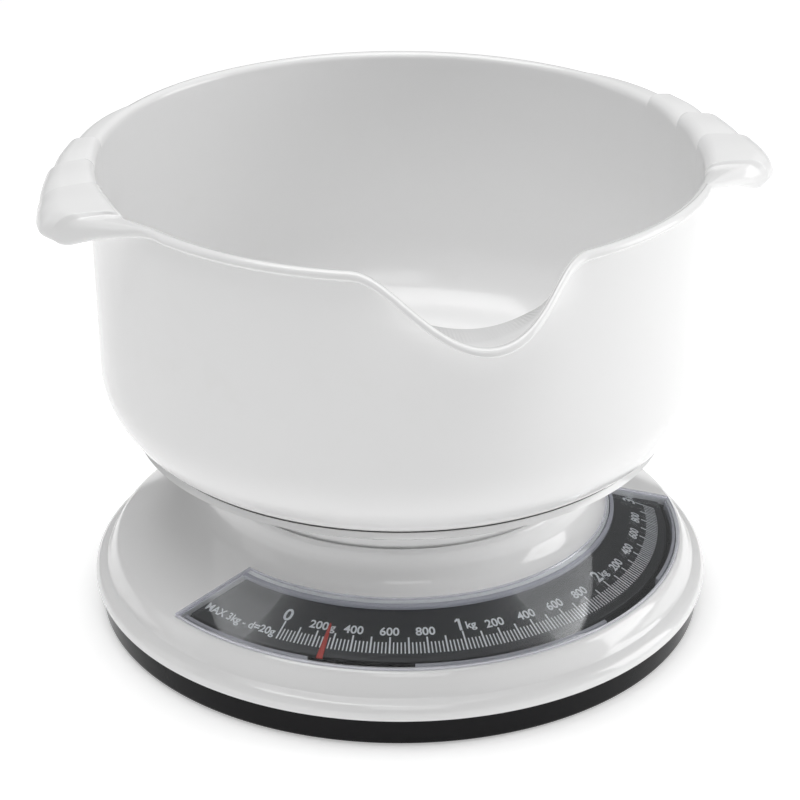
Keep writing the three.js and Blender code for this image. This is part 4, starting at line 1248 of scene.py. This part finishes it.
    def draw_spout(self, point: Point3) -> Point3:
        """Draw the rim out and down into the spout.

        Args:
            point: Point in the grip's frame, with the spout at +Y.

        Returns:
            The moved point.
        """
        x, y, z = point
        radius = math.hypot(x, y)
        angle = abs(math.degrees(math.atan2(x, y)))
        start = self.form.rim - self.blend_height
        if angle >= self.spout_half or z <= start or radius < self.form.radius / 2:
            return point
        bulge = math.cos(math.radians(90 * angle / self.spout_half)) ** 2
        rise = min(1.0, (z - start) / (self.blend_height - self.spout_crest))
        drawn = radius + self.spout_reach * bulge * rise**5
        return x * drawn / radius, y * drawn / radius, z - self.spout_drop * bulge * rise**4

    def angles(self) -> list[float]:
        """Angles of the sections, close together at the grips' steps and the spout."""
        groups = self.grip()
        stations = [90 - s.angle for g in groups for s in g]
        low, high = min(stations), max(stations)
        half = [*np.linspace(0, self.spout_half, 34, endpoint=False),
                *np.linspace(self.spout_half, low, 26, endpoint=False),
                *np.linspace(low, high, 150, endpoint=False), *np.linspace(high, 180, 40)]
        for group in groups[:-1]:
            edge = 90 - group[-1].angle
            half += [edge - self.step * t for t in (0, 0.2, 0.35, 0.5, 0.65, 0.8, 1)]
        half = sorted(set(round(a, 3) for a in half))
        half = [a for a, b in zip(half, half[1:] + [math.inf]) if b - a > self.closest]
        return [-a for a in half[:0:-1] if a < 180] + half

    def build(self) -> None:
        """Build and dress the bowl."""
        columns = [self.column(a) for a in self.angles()]
        count = len(columns[0])
        faces = []
        for i in range(len(columns)):
            here, after = i * count, (i + 1) % len(columns) * count
            for j in range(count - 1):
                faces.append((here + j, here + j + 1, after + j + 1, after + j))
        turn = math.radians(self.form.turn)
        c, s = math.cos(turn), math.sin(turn)
        vertices = [(x * c - y * s, x * s + y * c, z) for column in columns for x, y, z in column]
        bowl = make_object("mixing_bowl", vertices, faces, [self.finishes.bowl])
        dress(sharpen(bowl, 60), Body.BOWL, Slot.SHELL, "bowl")


# ---------------------------------------------------------------- mechanism and set
@dataclass
class Movement:
    """Nodes that keep their shape: they only get their finish."""

    finishes: Finishes

    def build(self) -> None:
        """Dress every node that is still shown."""
        by_slot = self.finishes.by_slot()
        slots = {s["node"]: s["material_slot"] for s in frame["record"]["subparts"]}
        for name, node in frame["nodes"].items():
            if node.hide_render:
                continue
            node.data.materials.clear()
            node.data.materials.append(by_slot[slots[name]])
            LOG.info("%s: finished as %s", name, slots[name])


@dataclass
class Studio:
    """Pale floor, soft lights and the camera."""

    floor_half: float = 6000.0
    floor_glow: float = 0.4
    surround: float = 0.16
    floor_z: float = low_high("rubber_foot_1")[0].z
    distance: float = 799.2
    height: float = 459.8
    aim: float = 71.54
    azimuth: float = -25.9
    lens: float = 117.955
    sensor: float = 36.0

    def build(self) -> None:
        """Set up the floor, the world, the lights and the camera."""
        self.build_floor()
        self.build_world()
        self.build_lights()
        self.build_camera()

    def build_floor(self) -> None:
        """Lay the floor."""
        half, z = self.floor_half, self.floor_z
        vertices = [(-half, -half, z), (half, -half, z), (half, half, z), (-half, half, z)]
        g = Graph("floor_white")
        shader = g.node(PRINCIPLED, None, {
            "Base Color": (0.9, 0.9, 0.9, 1), "Roughness": g.noise(4, 2) * 0.1 + 0.75,
            "Emission Color": CLEAN_WHITE, "Emission Strength": self.floor_glow})
        make_object("floor", vertices, [(0, 1, 2, 3)], [g.finish(shader)])

    def build_world(self) -> None:
        """Light the surroundings evenly."""
        world = bpy.data.worlds.new("studio")
        world.use_nodes = True
        background = world.node_tree.nodes["Background"].inputs
        background["Color"].default_value = CLEAN_WHITE
        background["Strength"].default_value = self.surround
        bpy.context.scene.world = world
        bpy.context.scene.view_settings.view_transform = "Standard"

    def area(self, name: str, place: Point3, aim: Point3, size: Point, power: float) -> None:
        """Hang one soft light.

        Args:
            name: Its name.
            place: Where it hangs, in millimetres.
            aim: What it points at.
            size: Width and height in millimetres.
            power: Power in watts.
        """
        light = bpy.data.lights.new(name, "AREA")
        light.shape = "RECTANGLE"
        light.size, light.size_y = size[0] * MM, size[1] * MM
        light.energy = power
        made = bpy.data.objects.new(name, light)
        made.location = Vector(place) * MM
        made.rotation_euler = (Vector(aim) - Vector(place)).to_track_quat("-Z", "Y").to_euler()
        bpy.context.scene.collection.objects.link(made)

    def build_lights(self) -> None:
        """Hang the key, the fill, the front and the top light."""
        self.area("key_right", (1050, -450, 420), (0, 0, 90), (600, 700), 5.5)
        self.area("fill_left", (-1100, 500, 500), (0, 0, 80), (500, 800), 0.8)
        self.area("front", (-350, -900, 1250), (0, 60, 110), (600, 600), 2.4)
        self.area("top", (-100, 100, 1500), (0, 0, 60), (1100, 1100), 15)

    def build_camera(self) -> None:
        """Stand the camera where the scale was looked at from."""
        data = bpy.data.cameras.new("camera")
        data.lens = self.lens
        data.sensor_width = self.sensor
        data.clip_start, data.clip_end = 0.01, 50
        camera = bpy.data.objects.new("camera", data)
        a = math.radians(self.azimuth)
        place = Vector((self.distance * math.sin(a), -self.distance * math.cos(a),
                        self.height + self.floor_z))
        aim = Vector((0, 0, self.aim + self.floor_z))
        camera.location = place * MM
        camera.rotation_mode = "QUATERNION"
        camera.rotation_quaternion = (aim - place).to_track_quat("-Z", "Y")
        bpy.context.scene.collection.objects.link(camera)
        bpy.context.scene.camera = camera


def main() -> None:
    """Build the scale and its studio."""
    logging.basicConfig(level=logging.INFO, format="%(name)s: %(message)s")
    finishes = Finishes()
    cone = Cone()
    form = BowlForm()
    for part in (Housing(finishes, cone), Dial(finishes, cone), PlatformDish(finishes, form),
                 Bowl(finishes, form), Movement(finishes), Studio()):
        part.build()
        LOG.info("%s done", type(part).__name__)


if __name__ == "__main__":
    main()
